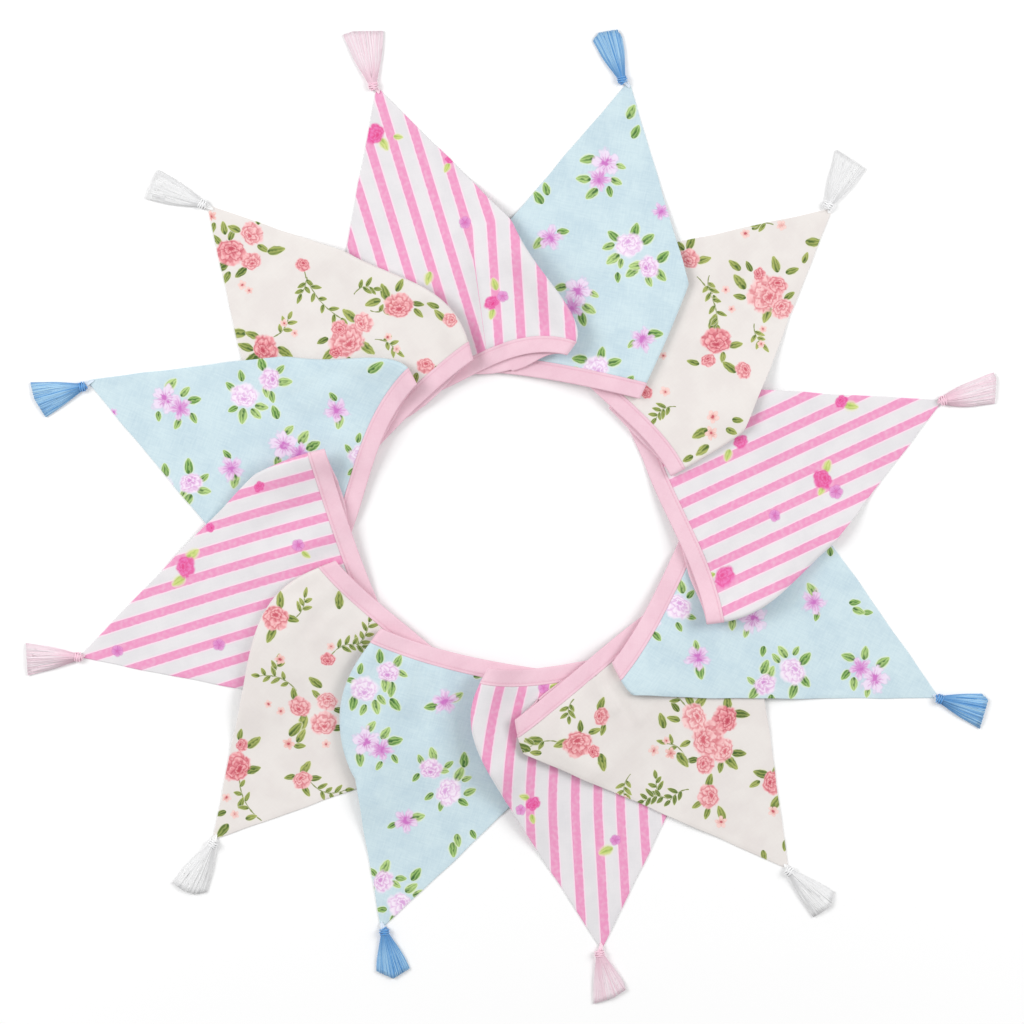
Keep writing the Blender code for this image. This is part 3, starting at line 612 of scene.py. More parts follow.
def tapeEdges():
    # middle of the tape's outer and inner edge, from its first end to its last, through every fold
    edges = outer, inner = [], []
    for number in range(len(pennants)):
        pennant = pennants[(ring["tapeStartsAt"] + number) % len(pennants)]
        heights = np.array((pennant.clothEnd + ring["seamGap"], pennant.tall))
        wide = pennant.halfWidth(heights)
        fold = pennant.foldAcross(heights)
        stop = math.pi * pennant.roll
        # from the hidden corner to the fold, round the fold, and on to the turned corner
        lead = ring["freeEnd"] if number == 0 else ring["tapeRunOn"]
        before = np.linspace(0.0, 1.0, round((wide[1] + fold[1]) / tape["step"]))[:-1, None]
        beyond = np.linspace(0.0, 1.0, round((wide[1] - fold[1] - stop) / tape["step"]))[1:, None]
        across = np.vstack([
            np.arange(-lead, -0.3 * mm, tape["step"])[:, None] - wide,
            -wide + before * (fold + wide),
            fold + np.linspace(0.0, stop, tape["turnSteps"] + 1)[:, None],
            fold + stop + beyond * (wide - fold - stop),
        ])
        for k, edge in enumerate(edges):
            edge.append(placed(pennant, np.column_stack([across[:, k], np.full(len(across), heights[k])])))
            sides = pennant.returnSides[k]
            edge.append(np.column_stack([sides, lowerLevel(pennant, sides)]))
        if number + 1 < len(pennants):
            # a half turn down to the next pennant's hidden corner
            following = neighbour(pennant, 1)
            turn = np.linspace(0.0, math.pi, tape["turnSteps"])[1:-1, None]
            hidden = -following.halfWidth(following.tall) - ring["tapeRunOn"]
            for edge, height in ((outer, ring["tapeWide"]), (inner, 0.0)):
                low = placed(following, np.array([(hidden, following.tall - height)]))[0]
                high = edge[-1][-1]
                radius = (high[2] - low[2]) / 2
                away = unit(high[:2] - edge[-1][-2][:2])
                bend = high[:2] + np.sin(turn) * radius * away + (low[:2] - high[:2]) * (1 - np.cos(turn)) / 2
                edge.append(np.column_stack([bend, (high[2] + low[2]) / 2 + np.cos(turn) * radius]))
    return np.vstack(outer), np.vstack(inner)


def tapeFrame():
    # at each station: both edges, the ways across, along and up, and the run so far
    outer, inner = tapeEdges()
    middle = (outer + inner) / 2
    across = unit(outer - inner)
    along = unit(np.gradient(middle, axis=0))
    run = np.concatenate([[0.0], np.cumsum(np.linalg.norm(np.diff(middle, axis=0), axis=1))])
    return {"outer": outer, "inner": inner, "across": across, "along": along,
            "normal": unit(np.cross(along, across)), "run": run}


def tapeShell(stations):
    # the folded section carried along: across from the inner edge, up along the normal
    half = np.array(tape["section"]) * mm
    section = np.vstack([half[::-1], half * (1.0, -1.0)])
    inner, outer = stations["inner"], stations["outer"]
    wide = np.linalg.norm(outer - inner, axis=1)[:, None] / ring["tapeWide"]
    verts = (inner[:, None, :] + stations["across"][:, None, :] * (section[:, 0] * wide)[:, :, None]
             + stations["normal"][:, None, :] * section[None, :, 1, None])
    rows, columns = verts.shape[:2]
    quads, caps = tubeFaces(rows, columns)
    flat = np.stack([np.repeat(stations["run"][:, None], columns, axis=1),
                     np.repeat(section[None, :, 0], rows, axis=0)], axis=2)
    return verts.reshape(-1, 3), [*quads, *caps], flat.reshape(-1, 2)


# stitches beside the tape's turned edge, on both of its faces

stitches = {
    "pitch": 2.5 * mm,
    "in": 10.05 * mm,           # from the tape's inner edge
    "height": 0.66 * mm,        # of a stitch's middle above the tape's own middle
    # sections of one stitch: along, radius, lift, in mm
    "section": ((-0.98, 0.06, -0.15), (-0.62, 0.17, 0.0), (0.62, 0.17, 0.0), (0.98, 0.06, -0.15)),
    "sides": 4,
    "turned": 0.4,              # where the sides start round the bar
    "fromEnd": 1.5 * mm,
}


def stitchShells(stations):
    # one short rounded bar is repeated at even runs along the tape, over and under it
    run = stations["run"]
    places = np.arange(stitches["fromEnd"], run[-1] - stitches["fromEnd"], stitches["pitch"])

    def at(name):
        values = stations[name]
        return np.column_stack([np.interp(places, run, values[:, k]) for k in range(3)])

    over, way, wide = unit(at("normal")), unit(at("along")), unit(at("across"))
    base = at("inner") + wide * stitches["in"]
    bar, sides = np.array(stitches["section"]) * mm, stitches["sides"]
    turn = np.arange(sides) / sides * full + stitches["turned"]
    local = np.stack([np.repeat(bar[:, 0:1], sides, axis=1), bar[:, 1:2] * np.cos(turn),
                      bar[:, 1:2] * np.sin(turn) + bar[:, 2:3]], axis=2).reshape(-1, 3)
    shells = []
    for sign in (1.0, -1.0):
        middle = base + over * sign * stitches["height"]
        shells.append(middle[:, None, :] + way[:, None, :] * local[None, :, 0:1]
                      + wide[:, None, :] * local[None, :, 1:2] * sign
                      + over[:, None, :] * local[None, :, 2:3] * sign)
    verts = np.concatenate(shells)
    quads, caps = tubeFaces(len(bar), sides)
    return verts.reshape(-1, 3), copied(np.vstack([quads, caps]), len(verts), len(local))


# tassels

tassel = {
    "threads": 168,
    "steps": 12,
    "sides": 3,
    "radius": (0.34, 0.31),     # at the knot and at the end, mm
    "core": 0.86,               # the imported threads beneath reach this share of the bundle's height
    "coreColumns": 41,
    "locks": 9,
    "gather": 0.975,            # how wide a lock's end is against its share of the fan
    "wave": 0.16,               # how far its threads rise and sink, mm
    "wander": 0.25,             # and sway
    "crowd": 1.15,              # power that brings a thread's steps closer near the knot
    "uneven": 0.012,            # how ragged the cut is, of a thread's length
    "flatter": 0.75,            # how the bundle falls off towards its sides
    "offFloor": 0.28,
    # the bundle beyond the knot's middle: along, half width, height, in mm
    "bundle": ((-1.5, 1.9, 3.6), (0.5, 2.4, 4.4), (3.0, 2.3, 4.2), (6.0, 2.5, 4.0), (12.0, 3.2, 3.5),
               (20.0, 4.4, 3.0)),
    "endHeight": 2.2,
    # turns of thread about the knot: along, slant, half width
    "wraps": ((-2.3, -0.6, 2.1), (-1.4, 0.5, 2.9), (-0.6, -0.3, 3.3), (0.2, 0.6, 3.3), (1.0, -0.4, 3.1),
              (1.8, 0.3, 2.7)),
    "wrapTall": 5.2,
    "wrapThread": 0.47,
    "wrapSteps": 24, "wrapSides": 6,
    "wrapTones": (0.9, 0.1, 0.75, 0.2, 0.95, 0.35),
    # rings of spare thread beside the knot: along, across, height, radius
    "loops": ((-0.8, 2.2, 1.8, 1.0), (0.6, -2.2, 1.9, 0.8), (-2.2, 1.2, 2.4, 0.8)),
    "loopThread": 0.27,
    "loopSteps": 16, "loopSides": 5,
    "tones": {"core": 0.35, "loops": 0.6},
    # the thread that passes over the pennant's tip: share of the way from tip to knot, across, height
    "over": ((0.8, 0.9, 3.2), (0.4, 1.0, 2.5), (0.0, 0.8, 1.75), (-0.3, 0.4, 1.45), (-0.4, 0.0, 1.4),
             (-0.3, -0.4, 1.45), (0.0, -0.8, 1.75), (0.4, -1.0, 2.5), (0.8, -0.9, 3.2)),
    "overCopies": (0.3, 0.65, 1.0, 1.35),
    "overTone": 2.0,            # beyond the others' 0 to 1, which tells the material where it is
}
# clockwise from the top; degrees, and millimetres along and across from the pennant's tip
tasselRows = (
    # thread, points, knot, corners of the cut end, how straight its sides are, ragged
    ("pink", 103.0, (4.1, 2.6), ((40.0, -13.1), (44.4, 7.9), (43.6, 15.2)), 1.0, 0.6),
    ("blue", 109.5, (4.7, 2.8), ((33.1, -6.9), (38.9, -5.3), (41.2, 7.3), (37.3, 13.1)), 1.0, 1.4),
    ("white", 64.0, (3.2, 2.4), ((37.3, -10.0), (40.7, 14.2)), 1.0, 0.6),
    ("pink", 16.0, (3.0, 0.0), ((36.9, -11.9), (42.9, 5.0), (42.1, 8.9)), 0.62, 0.6),
    ("blue", -16.5, (3.6, -1.2), ((36.4, -13.0), (36.3, 7.7), (31.1, 10.5)), 0.95, 1.0),
    ("white", -42.6, (4.0, -1.2), ((38.5, -13.1), (42.1, 0.6), (37.0, 9.2)), 1.0, 0.6),
    ("pink", -76.8, (5.0, -2.4), ((38.1, -14.4), (37.4, -0.6), (33.7, 9.6), (28.9, 9.3)), 1.0, 0.8),
    ("blue", -78.0, (5.0, 0.5), ((30.8, -10.4), (38.3, -0.1), (33.6, 12.7)), 1.0, 0.8),
    ("white", -117.4, (5.0, 0.8), ((42.0, -12.0), (43.4, -3.8), (42.3, 4.4), (37.0, 12.2)), 1.0, 0.8),
    ("pink", 182.2, (3.4, 0.7), ((39.4, -10.4), (39.1, 12.1)), 1.0, 0.8),
    ("blue", 198.0, (6.2, 1.8), ((40.0, -12.0), (40.8, -0.4), (37.4, 13.9)), 1.0, 1.4),
    ("white", 157.6, (6.0, -0.4), ((43.8, -10.7), (44.0, 11.3)), 0.85, 0.7),
)


def tubes(paths, radii, sides, towards, closed=False):
    # each path is a line of points; a small polygon is carried along all of them at once, and the
    # ends are capped, or joined where the path is a ring
    count, steps = paths.shape[:2]
    if closed:
        way = unit(np.roll(paths, -1, axis=1) - np.roll(paths, 1, axis=1))
    else:
        way = unit(np.gradient(paths, axis=1))
    aside = unit(np.cross(way, np.broadcast_to(np.array(towards, dtype=float), way.shape)))
    above = np.cross(aside, way)
    turn = np.arange(sides) / sides * full + 0.5
    spokes = (aside[:, :, None, :] * np.cos(turn)[None, None, :, None]
              + above[:, :, None, :] * np.sin(turn)[None, None, :, None])
    verts = paths[:, :, None, :] + spokes * np.broadcast_to(radii, (count, steps))[:, :, None, None]
    quads, caps = (copied(part, count, steps * sides) for part in tubeFaces(steps, sides, closed))
    return verts.reshape(-1, 3), quads + caps


def joined(parts):
    # several shells in one list of points and faces; the third value tells their threads apart
    verts, faces, tone, first = [], [], [], 0
    for points, polygons, value in parts:
        verts.append(points)
        faces += [face + first for face in polygons]
        tone.append(np.broadcast_to(value, (len(points),)))
        first += len(points)
    return np.vstack(verts), faces, np.concatenate(tone)


def tasselCore(paths, height, u):
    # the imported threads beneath: a lens-shaped section that follows the threads' own fan and ridges
    pick = np.linspace(0, len(u) - 1, tassel["coreColumns"]).astype(int)
    x, y = paths[pick, :, 0].T, paths[pick, :, 1].T * 0.97
    x = np.minimum(x, x[-1:] - 1.0)
    lens = np.sqrt(np.maximum(1 - u[pick] ** 2, 0.0)) * (0.9 + 0.1 * np.cos(np.arange(len(pick)) * 2.1))
    top = 0.1 + height[pick].T * tassel["core"] * lens[None, :]
    upper = np.stack([x, y, top], axis=2)
    lower = np.stack([x, y, np.full_like(top, 0.05)], axis=2)
    section = np.concatenate([upper, lower[:, ::-1]], axis=1)
    quads, caps = tubeFaces(*section.shape[:2])
    return section.reshape(-1, 3) * mm, [*quads, *caps]


def threadPaths(row, chance, seed):
    # threads leave the knot side by side and fan out; each lies in a lock, and ends on the line that
    # the scissors cut
    _, _, knot, corners, straight, ragged = row
    count, steps = tassel["threads"], tassel["steps"]
    u = (np.arange(count) + 0.5) / count * 2 - 1
    stacked = (chance.permutation(count) / count)[:, None]
    lock = (np.floor((u + 1) / 2 * tassel["locks"]) + 0.5) / tassel["locks"] * 2 - 1
    lock = lock + 0.05 * np.sin(lock * 9 + seed)
    spread = np.clip(lock + (u - lock) * tassel["gather"], -1.0, 1.0)
    corners = np.array(corners, dtype=float)
    cut = np.concatenate([[0.0], np.cumsum(np.hypot(*np.diff(corners, axis=0).T))])
    cut = cut / cut[-1] * 2 - 1
    uneven = 1 + tassel["uneven"] * ragged * (chance.random(count) - 0.7)
    endAlong = (np.interp(spread, cut, corners[:, 0]) * uneven)[:, None]
    endAcross = np.interp(spread, cut, corners[:, 1])[:, None]
    along, half, tall = np.array(tassel["bundle"]).T
    along = along + knot[0]
    t = np.linspace(0.0, 1.0, steps)[None, :]
    x = along[0] + (endAlong - along[0]) * t ** tassel["crowd"]
    height = np.interp(x, np.append(along, corners[:, 0].max()), np.append(tall, tassel["endHeight"]))
    share = np.clip((x - along[1]) / (endAlong - along[1]), 0.0, 1.0) ** straight
    wander = tassel["wander"] * np.sin(x / 5.0 + 21 * u[:, None] + seed) * share
    y = (knot[1] + u[:, None] * np.interp(x, along, half)) * (1 - share) + endAcross * share + wander
    core = tassel["core"] + (1 - tassel["core"]) * stacked ** 0.7
    z = tassel["offFloor"] + (height - 0.5) * np.sqrt(1 - tassel["flatter"] * u ** 2)[:, None] * core
    z += tassel["wave"] * np.sin(x / 6.5 + 20 * lock[:, None] + seed) * share * stacked
    return np.stack([x, y, z], axis=2), height, u


def around(steps):
    return np.arange(steps) / steps * full


def tasselShell(row, tip, seed):
    # loose threads over their core, turns of thread that bind the knot, a few spare rings beside it,
    # and the thread that holds the tassel to the pennant
    _, points, knot, _, _, _ = row
    chance = np.random.default_rng(seed)
    count, steps, sides = tassel["threads"], tassel["steps"], tassel["sides"]
    paths, height, u = threadPaths(row, chance, seed)
    radii = np.linspace(*tassel["radius"], steps)[None, :]
    tones = np.repeat(chance.random(count), steps * sides)
    parts = [(*tubes(paths * mm, radii * mm, sides, (0, 0, 1)), tones),
             (*tasselCore(paths, height, u), tassel["tones"]["core"])]
    angle = around(tassel["wrapSteps"])
    tall = tassel["wrapTall"] / 2
    wraps = np.stack([np.column_stack([knot[0] + place + slant * np.cos(angle),
                                       knot[1] + wide * np.cos(angle),
                                       tall + (tall - 0.4) * (wide / 3.3) ** 0.5 * np.sin(angle)])
                      for place, slant, wide in tassel["wraps"]])
    sides = tassel["wrapSides"]
    parts.append((*tubes(wraps * mm, tassel["wrapThread"] * mm, sides, (1, 0, 0), closed=True),
                  np.repeat(tassel["wrapTones"], len(angle) * sides)))
    angle = around(tassel["loopSteps"])
    loops = np.stack([np.column_stack([knot[0] + place + size * 1.2 * np.cos(angle),
                                       knot[1] + aside + size * np.sin(angle),
                                       up + 0.5 * np.cos(angle + aside)])
                      for place, aside, up, size in tassel["loops"]])
    thread, sides = tassel["loopThread"] * mm, tassel["loopSides"]
    parts.append((*tubes(loops * mm, thread, sides, (0, 0, 1), closed=True), tassel["tones"]["loops"]))
    share, across, up = np.array(tassel["over"]).T
    over = np.stack([np.column_stack([share * knot[0] + 1.0 - copy,
                                      np.maximum(share, 0.0) * knot[1] + across * copy, up])
                     for copy in tassel["overCopies"]])
    parts.append((*tubes(over * mm, thread, sides, (0, 0, 1)), tassel["overTone"]))
    verts, faces, tone = joined(parts)
    run = verts[:, 0] / mm
    c, s = math.cos(math.radians(points)), math.sin(math.radians(points))
    verts[:, :2] = tip + verts[:, :2] @ np.array(((c, s), (-s, c)))
    return verts, faces, np.column_stack([run, tone])


# prints on the cloths: each mark is a leaf, a flower or a stem, at a place on the flat cloth

# flowers and leaves of the blue cloth's three sprays, in mm across and along from the spray's middle
sprays = {
    "stars": {
        # across, along, half size, kind (1 rose, 3 star) and tone
        "flowers": ((1, -6, 11.0, 3.1), (-1, 6, 9.0, 3.8)),
        # across, along, tone
        "leaves": ((-12, -6, 0.4), (-12, 8, 0.3), (-4, 17, 0.4), (8, 13, 0.8), (11, 5, 0.2),
                   (12, -6, 0.1)),
    },
    "roses": {
        "flowers": ((-6, -5, 11.0, 1.1), (11, 7, 9.0, 1.5)),
        "leaves": ((-4, -16, 0.6), (6, -12, 0.5), (-18, -9, 0.7), (-20, -1, 0.3), (-15, 7, 0.1), (-9, 9, 0.2),
                   (0, 13, 0.4), (-9, 19, 0.7), (19, -2, 0.7), (20, 11, 0.4), (13, 17, 0.2), (2, 8, 0.1)),
    },
    "single": {
        "flowers": ((0, 0, 9.6, 3.55),),
        "leaves": ((8, -6, 0.6), (-7, 5, 0.2)),
    },
}
# what is printed on each pennant, clockwise from the top, by places across and along in mm
# spray, across, along, turn in degrees
sprayRows = {
    2: (("stars", -5, 63, 0), ("single", -31, 116, 0), ("roses", 30, 115, 0), ("stars", -5, 155, 0),
        ("single", 47, 173, 0), ("roses", 25, 205, 0)),
    5: (("stars", 8, 49, 0), ("single", -19, 104, 0), ("roses", 37, 101, 0), ("stars", 10, 142, 0),
        ("single", 53, 157, 0), ("roses", 34, 190, 0)),
    8: (("roses", -2, 22, 0), ("single", 8, 74, 0), ("roses", -8, 107, 0), ("stars", 46, 117, 90),
        ("single", 9, 161, 0), ("roses", 60, 158, 90)),
    11: (("stars", 7, 59, 0), ("single", -20, 112, 0), ("roses", 37, 108, 0), ("stars", 8, 146, 0),
         ("single", 45, 165, 0), ("roses", 27, 198, 0), ("roses", -48, 80, 20)),
}
# across, along, half size, kind (1 rose, 3 star) and tone
flowerRows = {
    1: ((-11, 28, 7.5, 1.9), (31, 107, 4.8, 3.4), (32, 167, 5.5, 1.8), (41, 165, 4.5, 3.3),
        (33, 61, 3, 1.8)),
    2: ((41, 82, 7, 3.8),),
    3: ((15, 72, 13, 1.35), (16, 62, 7, 1.6), (2, 66, 4.5, 1.9), (31, 70, 7.5, 1.4), (-38, 96, 7, 1.6),
        (18, 120, 10, 1.92), (25, 134, 5, 1.8), (46, 120, 6, 1.65), (14, 182, 4.5, 1.9),
        (-14, 32, 4, 3.2), (-26, 55, 3.5, 3.3), (-5, 91, 3.2, 3.2), (8, 97, 3, 3.4), (57, 158, 5, 3.3),
        (65, 166, 5, 3.4), (22, 172, 4, 3.2), (33, 90, 3, 3.3), (40, 98, 3, 3.3), (2, 155, 3, 3.3)),
    4: ((15, 97, 7.5, 1.85), (27, 92, 5.5, 3.35), (24, 138, 4.6, 3.4), (48, 186, 8, 1.6),
        (-29, 62, 5, 1.8), (-33, 138, 5.5, 1.7)),
    6: ((-28, 52, 8, 1.8), (14, 72, 8, 1.5), (-13, 92, 8.5, 1.3), (2, 91, 7, 1.6), (-27, 108, 9.5, 1.95),
        (-10, 104, 12, 1.45), (-11, 122, 9.5, 1.2), (17, 112, 4.5, 3.8), (-16, 36, 4, 3.2),
        (18, 52, 4.5, 3.3), (25, 121, 4, 3.2), (65, 158, 10, 1.7), (59, 147, 4.5, 1.9), (40, 163, 6, 1.6),
        (14, 121, 3, 3.3), (62, 106, 3.2, 3.3), (66, 112, 3, 3.2)),
    7: ((-14, 73, 4.2, 3.4), (28, 40, 3.5, 3.3), (42, 103, 5.5, 1.85), (51, 99, 4.2, 3.2),
        (30, 184, 4.5, 3.3)),
    9: ((21, 47, 10, 1.92), (28, 61, 4.5, 1.8), (-20, 70, 6.5, 1.5), (4, 83, 4.5, 3.8), (-5, 110, 9, 1.4),
        (15, 108, 7.5, 1.6), (3, 123, 7, 1.3), (22, 146, 5, 1.85), (68, 142, 9, 1.7), (0, 21, 3.5, 3.2),
        (12, 26, 3.5, 3.3), (-16, 100, 3.5, 3.2), (23, 97, 3.5, 3.3), (33, 95, 3, 3.3), (47, 124, 4, 3.6),
        (26, 154, 3.2, 3.3)),
    10: ((-4, 24, 4.6, 3.4), (-21, 92, 4.8, 3.4), (38, 87, 7.8, 1.7), (76, 152, 4.2, 1.8),
         (29, 165, 4.8, 3.35), (59, 111, 3.6, 1.7)),
    11: ((-14, 23, 3.5, 3.6),),
    12: ((-3, 5, 4, 3.8), (-10, 33, 10, 1.85), (10, 33, 8, 1.45), (-3, 47, 6.5, 1.6), (-36, 98, 9, 1.92),
         (22, 73, 5, 1.85), (10, 132, 12, 1.5), (12, 122, 5.5, 1.7), (27, 131, 7, 1.35),
         (-1, 133, 4.5, 1.95), (53, 138, 9.5, 1.7), (39, 182, 6, 1.6), (73, 168, 5, 1.5),
         (-19, 55, 3.5, 3.2), (-18, 61, 3, 3.3), (-15, 94, 3, 3.3), (-14, 104, 3, 3.2), (33, 150, 3, 3.3),
         (32, 160, 3, 3.2)),
}
# across, along, tone
leafRows = {
    1: ((-7, 37, 0.2), (4, 35, 0.3), (38, 155, 0.4), (30, 66, 0.3), (-5, 135, 0.1), (30, 175, 0.3)),
    2: ((-41, 83, 0.5), (-45, 90, 0.7), (6, 18, 0.3), (12, 31, 0.6)),
    3: ((-25, 45, 0.5), (15, 47, 0.6), (4, 53, 0.4), (10, 22, 0.5), (14, 34, 0.3), (-14, 75, 0.5),
        (-7, 68, 0.9), (-3, 80, 0.4), (5, 87, 0.8), (27, 60, 0.8), (27, 81, 0.3), (-50, 96, 0.5),
        (-31, 89, 0.3), (-46, 88, 0.8), (7, 113, 0.8), (29, 112, 0.4), (19, 143, 0.6), (30, 125, 0.3),
        (38, 126, 0.6), (60, 173, 0.5), (70, 178, 0.3), (68, 190, 0.6), (70, 145, 0.7), (73, 153, 0.4)),
    4: ((8, 90, 0.3), (22, 101, 0.2), (43, 195, 0.4), (-23, 57, 0.3), (-28, 150, 0.4)),
    5: ((-30, 68, 0.5), (-28, 74, 0.3), (-32, 79, 0.7), (-56, 110, 0.5), (87, 197, 0.6)),
    6: ((-8, 12, 0.7), (8, 15, 0.4), (-22, 40, 0.5), (-25, 62, 0.9), (-17, 59, 0.3), (-36, 58, 0.5),
        (7, 80, 0.8), (14, 57, 0.4), (22, 63, 0.6), (24, 72, 0.4), (-21, 83, 0.9), (-13, 81, 0.5),
        (-5, 83, 0.8), (8, 99, 0.95), (13, 103, 0.5), (5, 111, 0.3), (-39, 104, 0.95), (-36, 116, 0.5),
        (-5, 136, 0.95), (1, 130, 0.4), (8, 134, 0.5), (-16, 134, 0.6), (-22, 128, 0.3), (59, 137, 0.5),
        (56, 167, 0.9), (74, 166, 0.4), (45, 155, 0.5), (50, 158, 0.3), (35, 170, 0.6), (92, 172, 0.4),
        (88, 180, 0.6), (97, 181, 0.9)),
    7: ((-7, 66, 0.3), (43, 92, 0.4), (21, 184, 0.1), (48, 108, 0.2)),
    8: ((-30, 65, 0.5), (-31, 72, 0.3), (-40, 79, 0.6), (-8, 184, 0.4), (-2, 187, 0.6)),
    9: ((-1, 7, 0.9), (8, 15, 0.9), (-10, 27, 0.4), (2, 30, 0.6), (11, 53, 0.9), (31, 45, 0.5),
        (23, 68, 0.4), (34, 66, 0.6), (-12, 66, 0.8), (-27, 66, 0.5), (-16, 78, 0.3), (-26, 77, 0.9),
        (-3, 87, 0.5), (1, 93, 0.3), (7, 94, 0.6), (-15, 114, 0.95), (-8, 124, 0.95), (12, 122, 0.4),
        (18, 128, 0.5), (24, 112, 0.7), (6, 101, 0.3), (63, 132, 0.5), (59, 150, 0.8), (74, 153, 0.4),
        (43, 182, 0.5)),
    10: ((30, 79, 0.4), (21, 168, 0.3), (45, 94, 0.2)),
    11: ((83, 173, 0.5),),
    12: ((-8, 12, 0.5), (-2, 17, 0.4), (-1, 24, 0.8), (-11, 20, 0.6), (-22, 36, 0.95), (-24, 44, 0.5),
         (-14, 48, 0.95), (9, 46, 0.4), (15, 53, 0.5), (20, 28, 0.6), (3, 22, 0.3), (-44, 77, 0.4),
         (-46, 88, 0.8), (-37, 85, 0.5), (-48, 97, 0.9), (-28, 109, 0.6), (-3, 121, 0.9), (-6, 131, 0.5),
         (1, 145, 0.8), (17, 146, 0.4), (8, 152, 0.5), (23, 121, 0.3), (41, 125, 0.4), (52, 125, 0.7),
         (63, 128, 0.5), (64, 146, 0.9), (60, 151, 0.4), (71, 153, 0.6), (70, 161, 0.3), (28, 184, 0.5),
         (45, 190, 0.6)),
}
# leafy stems: from, to, bend, pairs of leaves, tone
stemRows = {
    3: (((-25, 100), (10, 112), -4, 3, 0.5), ((-20, 93), (-8, 100), 2, 2, 0.3),
        ((35, 174), (32, 190), 3, 3, 0.5), ((26, 92), (40, 97), 2, 2, 0.2),
        ((-18, 36), (-25, 44), 1, 1, 0.4)),
    6: (((22, 84), (37, 86), 2, 2, 0.9), ((37, 86), (52, 97), 3, 3, 0.9),
        ((40, 88), (36, 104), -2, 2, 0.8), ((48, 118), (62, 105), 3, 3, 0.3),
        ((72, 163), (97, 178), 5, 1, 0.5), ((10, 105), (15, 119), 2, 1, 0.4),
        ((48, 185), (58, 178), 2, 2, 0.5), ((-11, 130), (-9, 144), 1, 1, 0.6)),
    9: (((-17, 30), (14, 42), -4, 2, 0.5), ((-24, 73), (-47, 84), 5, 3, 0.5),
        ((24, 115), (50, 106), 4, 3, 0.4), ((44, 112), (47, 121), 1, 1, 0.4),
        ((22, 150), (10, 168), -4, 3, 0.6), ((14, 160), (17, 184), 3, 3, 0.5),
        ((58, 152), (62, 166), 2, 2, 0.3)),
    12: (((-27, 96), (-11, 94), 2, 2, 0.3), ((20, 77), (8, 87), -2, 2, 0.6),
         ((20, 77), (17, 118), 4, 3, 0.5), ((25, 145), (31, 160), -2, 2, 0.3),
         ((35, 112), (48, 118), -3, 2, 0.6), ((36, 128), (46, 134), 2, 1, 0.5)),
}

# stripes: the middle of one and the pitch, mm across, and their sway for each square mm past its start
stripeLay = {1: (-0.7, 16.3, 0.0), 4: (5.3, 16.0, 0.0), 7: (-3.0, 15.9, 0.0016), 10: (-3.0, 15.7, 0.0002)}
stripeSwayFrom = 85.0
stripePitch = 16.2
printing = {
    "leafSize": {"blue": (4.9, 2.8), "cream": (5.7, 2.9), "stripe": (4.8, 3.0)},
    "roseSize": {"blue": 1.0, "cream": 1.16, "stripe": 1.1},
    "sprigLeaf": (3.6, 1.7),
    "apart": 2.4,               # marks nearer than this, in mm, are printed in different layers
    "reach": 3.2,               # a mark's cell of the cloth goes this far past it
    "layers": {"stem": 1, "leaf": 3, "flower": 4},      # from the lowest up
    "stemHalf": 0.42,
    "stemCurl": 20.0,           # bends from minus half of this to plus half of it fit in a mark's code
    "flat": (0.86, 0.97),       # a rose's and a star's width against its length
    "uneven": (0.22, 0.45),     # how a leaf's size and angle vary
    "away": 9.0,                # stands for a place that no mark reaches
}


def awayFrom(x, y, flowers):
    # a leaf points away from the flower whose rim is nearest
    gaps = [math.hypot(x - f[0], y - f[1]) - f[2] for f in flowers]
    f = flowers[int(np.argmin(gaps))]
    return math.atan2(y - f[1], x - f[0])


def stemMarks(low, high, bend, pairs, tone):
    # a stem's own mark, and its leaves': in pairs along it, and one at its end
    low, high = np.array(low, dtype=float), np.array(high, dtype=float)
    way = (high - low) / 2
    reach, angle = np.linalg.norm(way), math.atan2(way[1], way[0])
    side = np.array((-way[1], way[0])) / reach
    middle = (low + high) / 2
    long, wide = printing["sprigLeaf"]
    stem = (*(middle + side * bend / 2), reach, abs(bend) / 2 + 1.0, angle, 1.5 + bend / printing["stemCurl"])
    leaves = []
    for k in range(2 * pairs + 1):
        share = (k + 2.2) / (2 * pairs + 2.2) * 2 - 1
        turn = 0.0 if k == 2 * pairs else (0.9 if k % 2 else -0.9)
        heading = angle + turn - bend * share / reach
        root = middle + way * share + side * bend * (1 - share ** 2)
        size = long * (1 + 0.15 * math.sin(5 * k + low[0]))
        tip = root + size * np.array((math.cos(heading), math.sin(heading)))
        leaves.append((*tip, size, wide, heading, 1 + tone))
    return stem, leaves


def marksOf(pennant):
    # every mark on a pennant: across, along, half length, half width, angle, code
    number = pennant.number
    flowers, leaves = [], []
    for spray, across, along, turn in sprayRows.get(number, ()):
        c, s = math.cos(math.radians(turn)), math.sin(math.radians(turn))
        for group, found in (("flowers", flowers), ("leaves", leaves)):
            found += [(across + c * x - s * y, along + s * x + c * y, *rest)
                      for x, y, *rest in sprays[spray][group]]
    flowers += flowerRows.get(number, ())
    leaves += leafRows[number]
    marks = {"stem": [], "leaf": [], "flower": []}
    for x, y, size, code in flowers:
        rose = code < 3
        size *= printing["roseSize"][pennant.cloth] if rose else 1.0
        flat = printing["flat"][0 if rose else 1]
        marks["flower"].append((x, y, size, size * flat, 2.4 * x + 1.7 * y, code))
    long, wide = printing["leafSize"][pennant.cloth]
    vary, twist = printing["uneven"]
    for x, y, tone in leaves:
        size = 1 + vary * math.sin(3 * x + 5 * y)
        angle = awayFrom(x, y, flowers) + twist * math.sin(2 * x + 3 * y)
        marks["leaf"].append((x, y, long * size, wide * size, angle, 1 + tone))
    for row in stemRows.get(number, ()):
        stem, own = stemMarks(*row)
        marks["stem"].append(stem)
        marks["leaf"] += own
    return marks


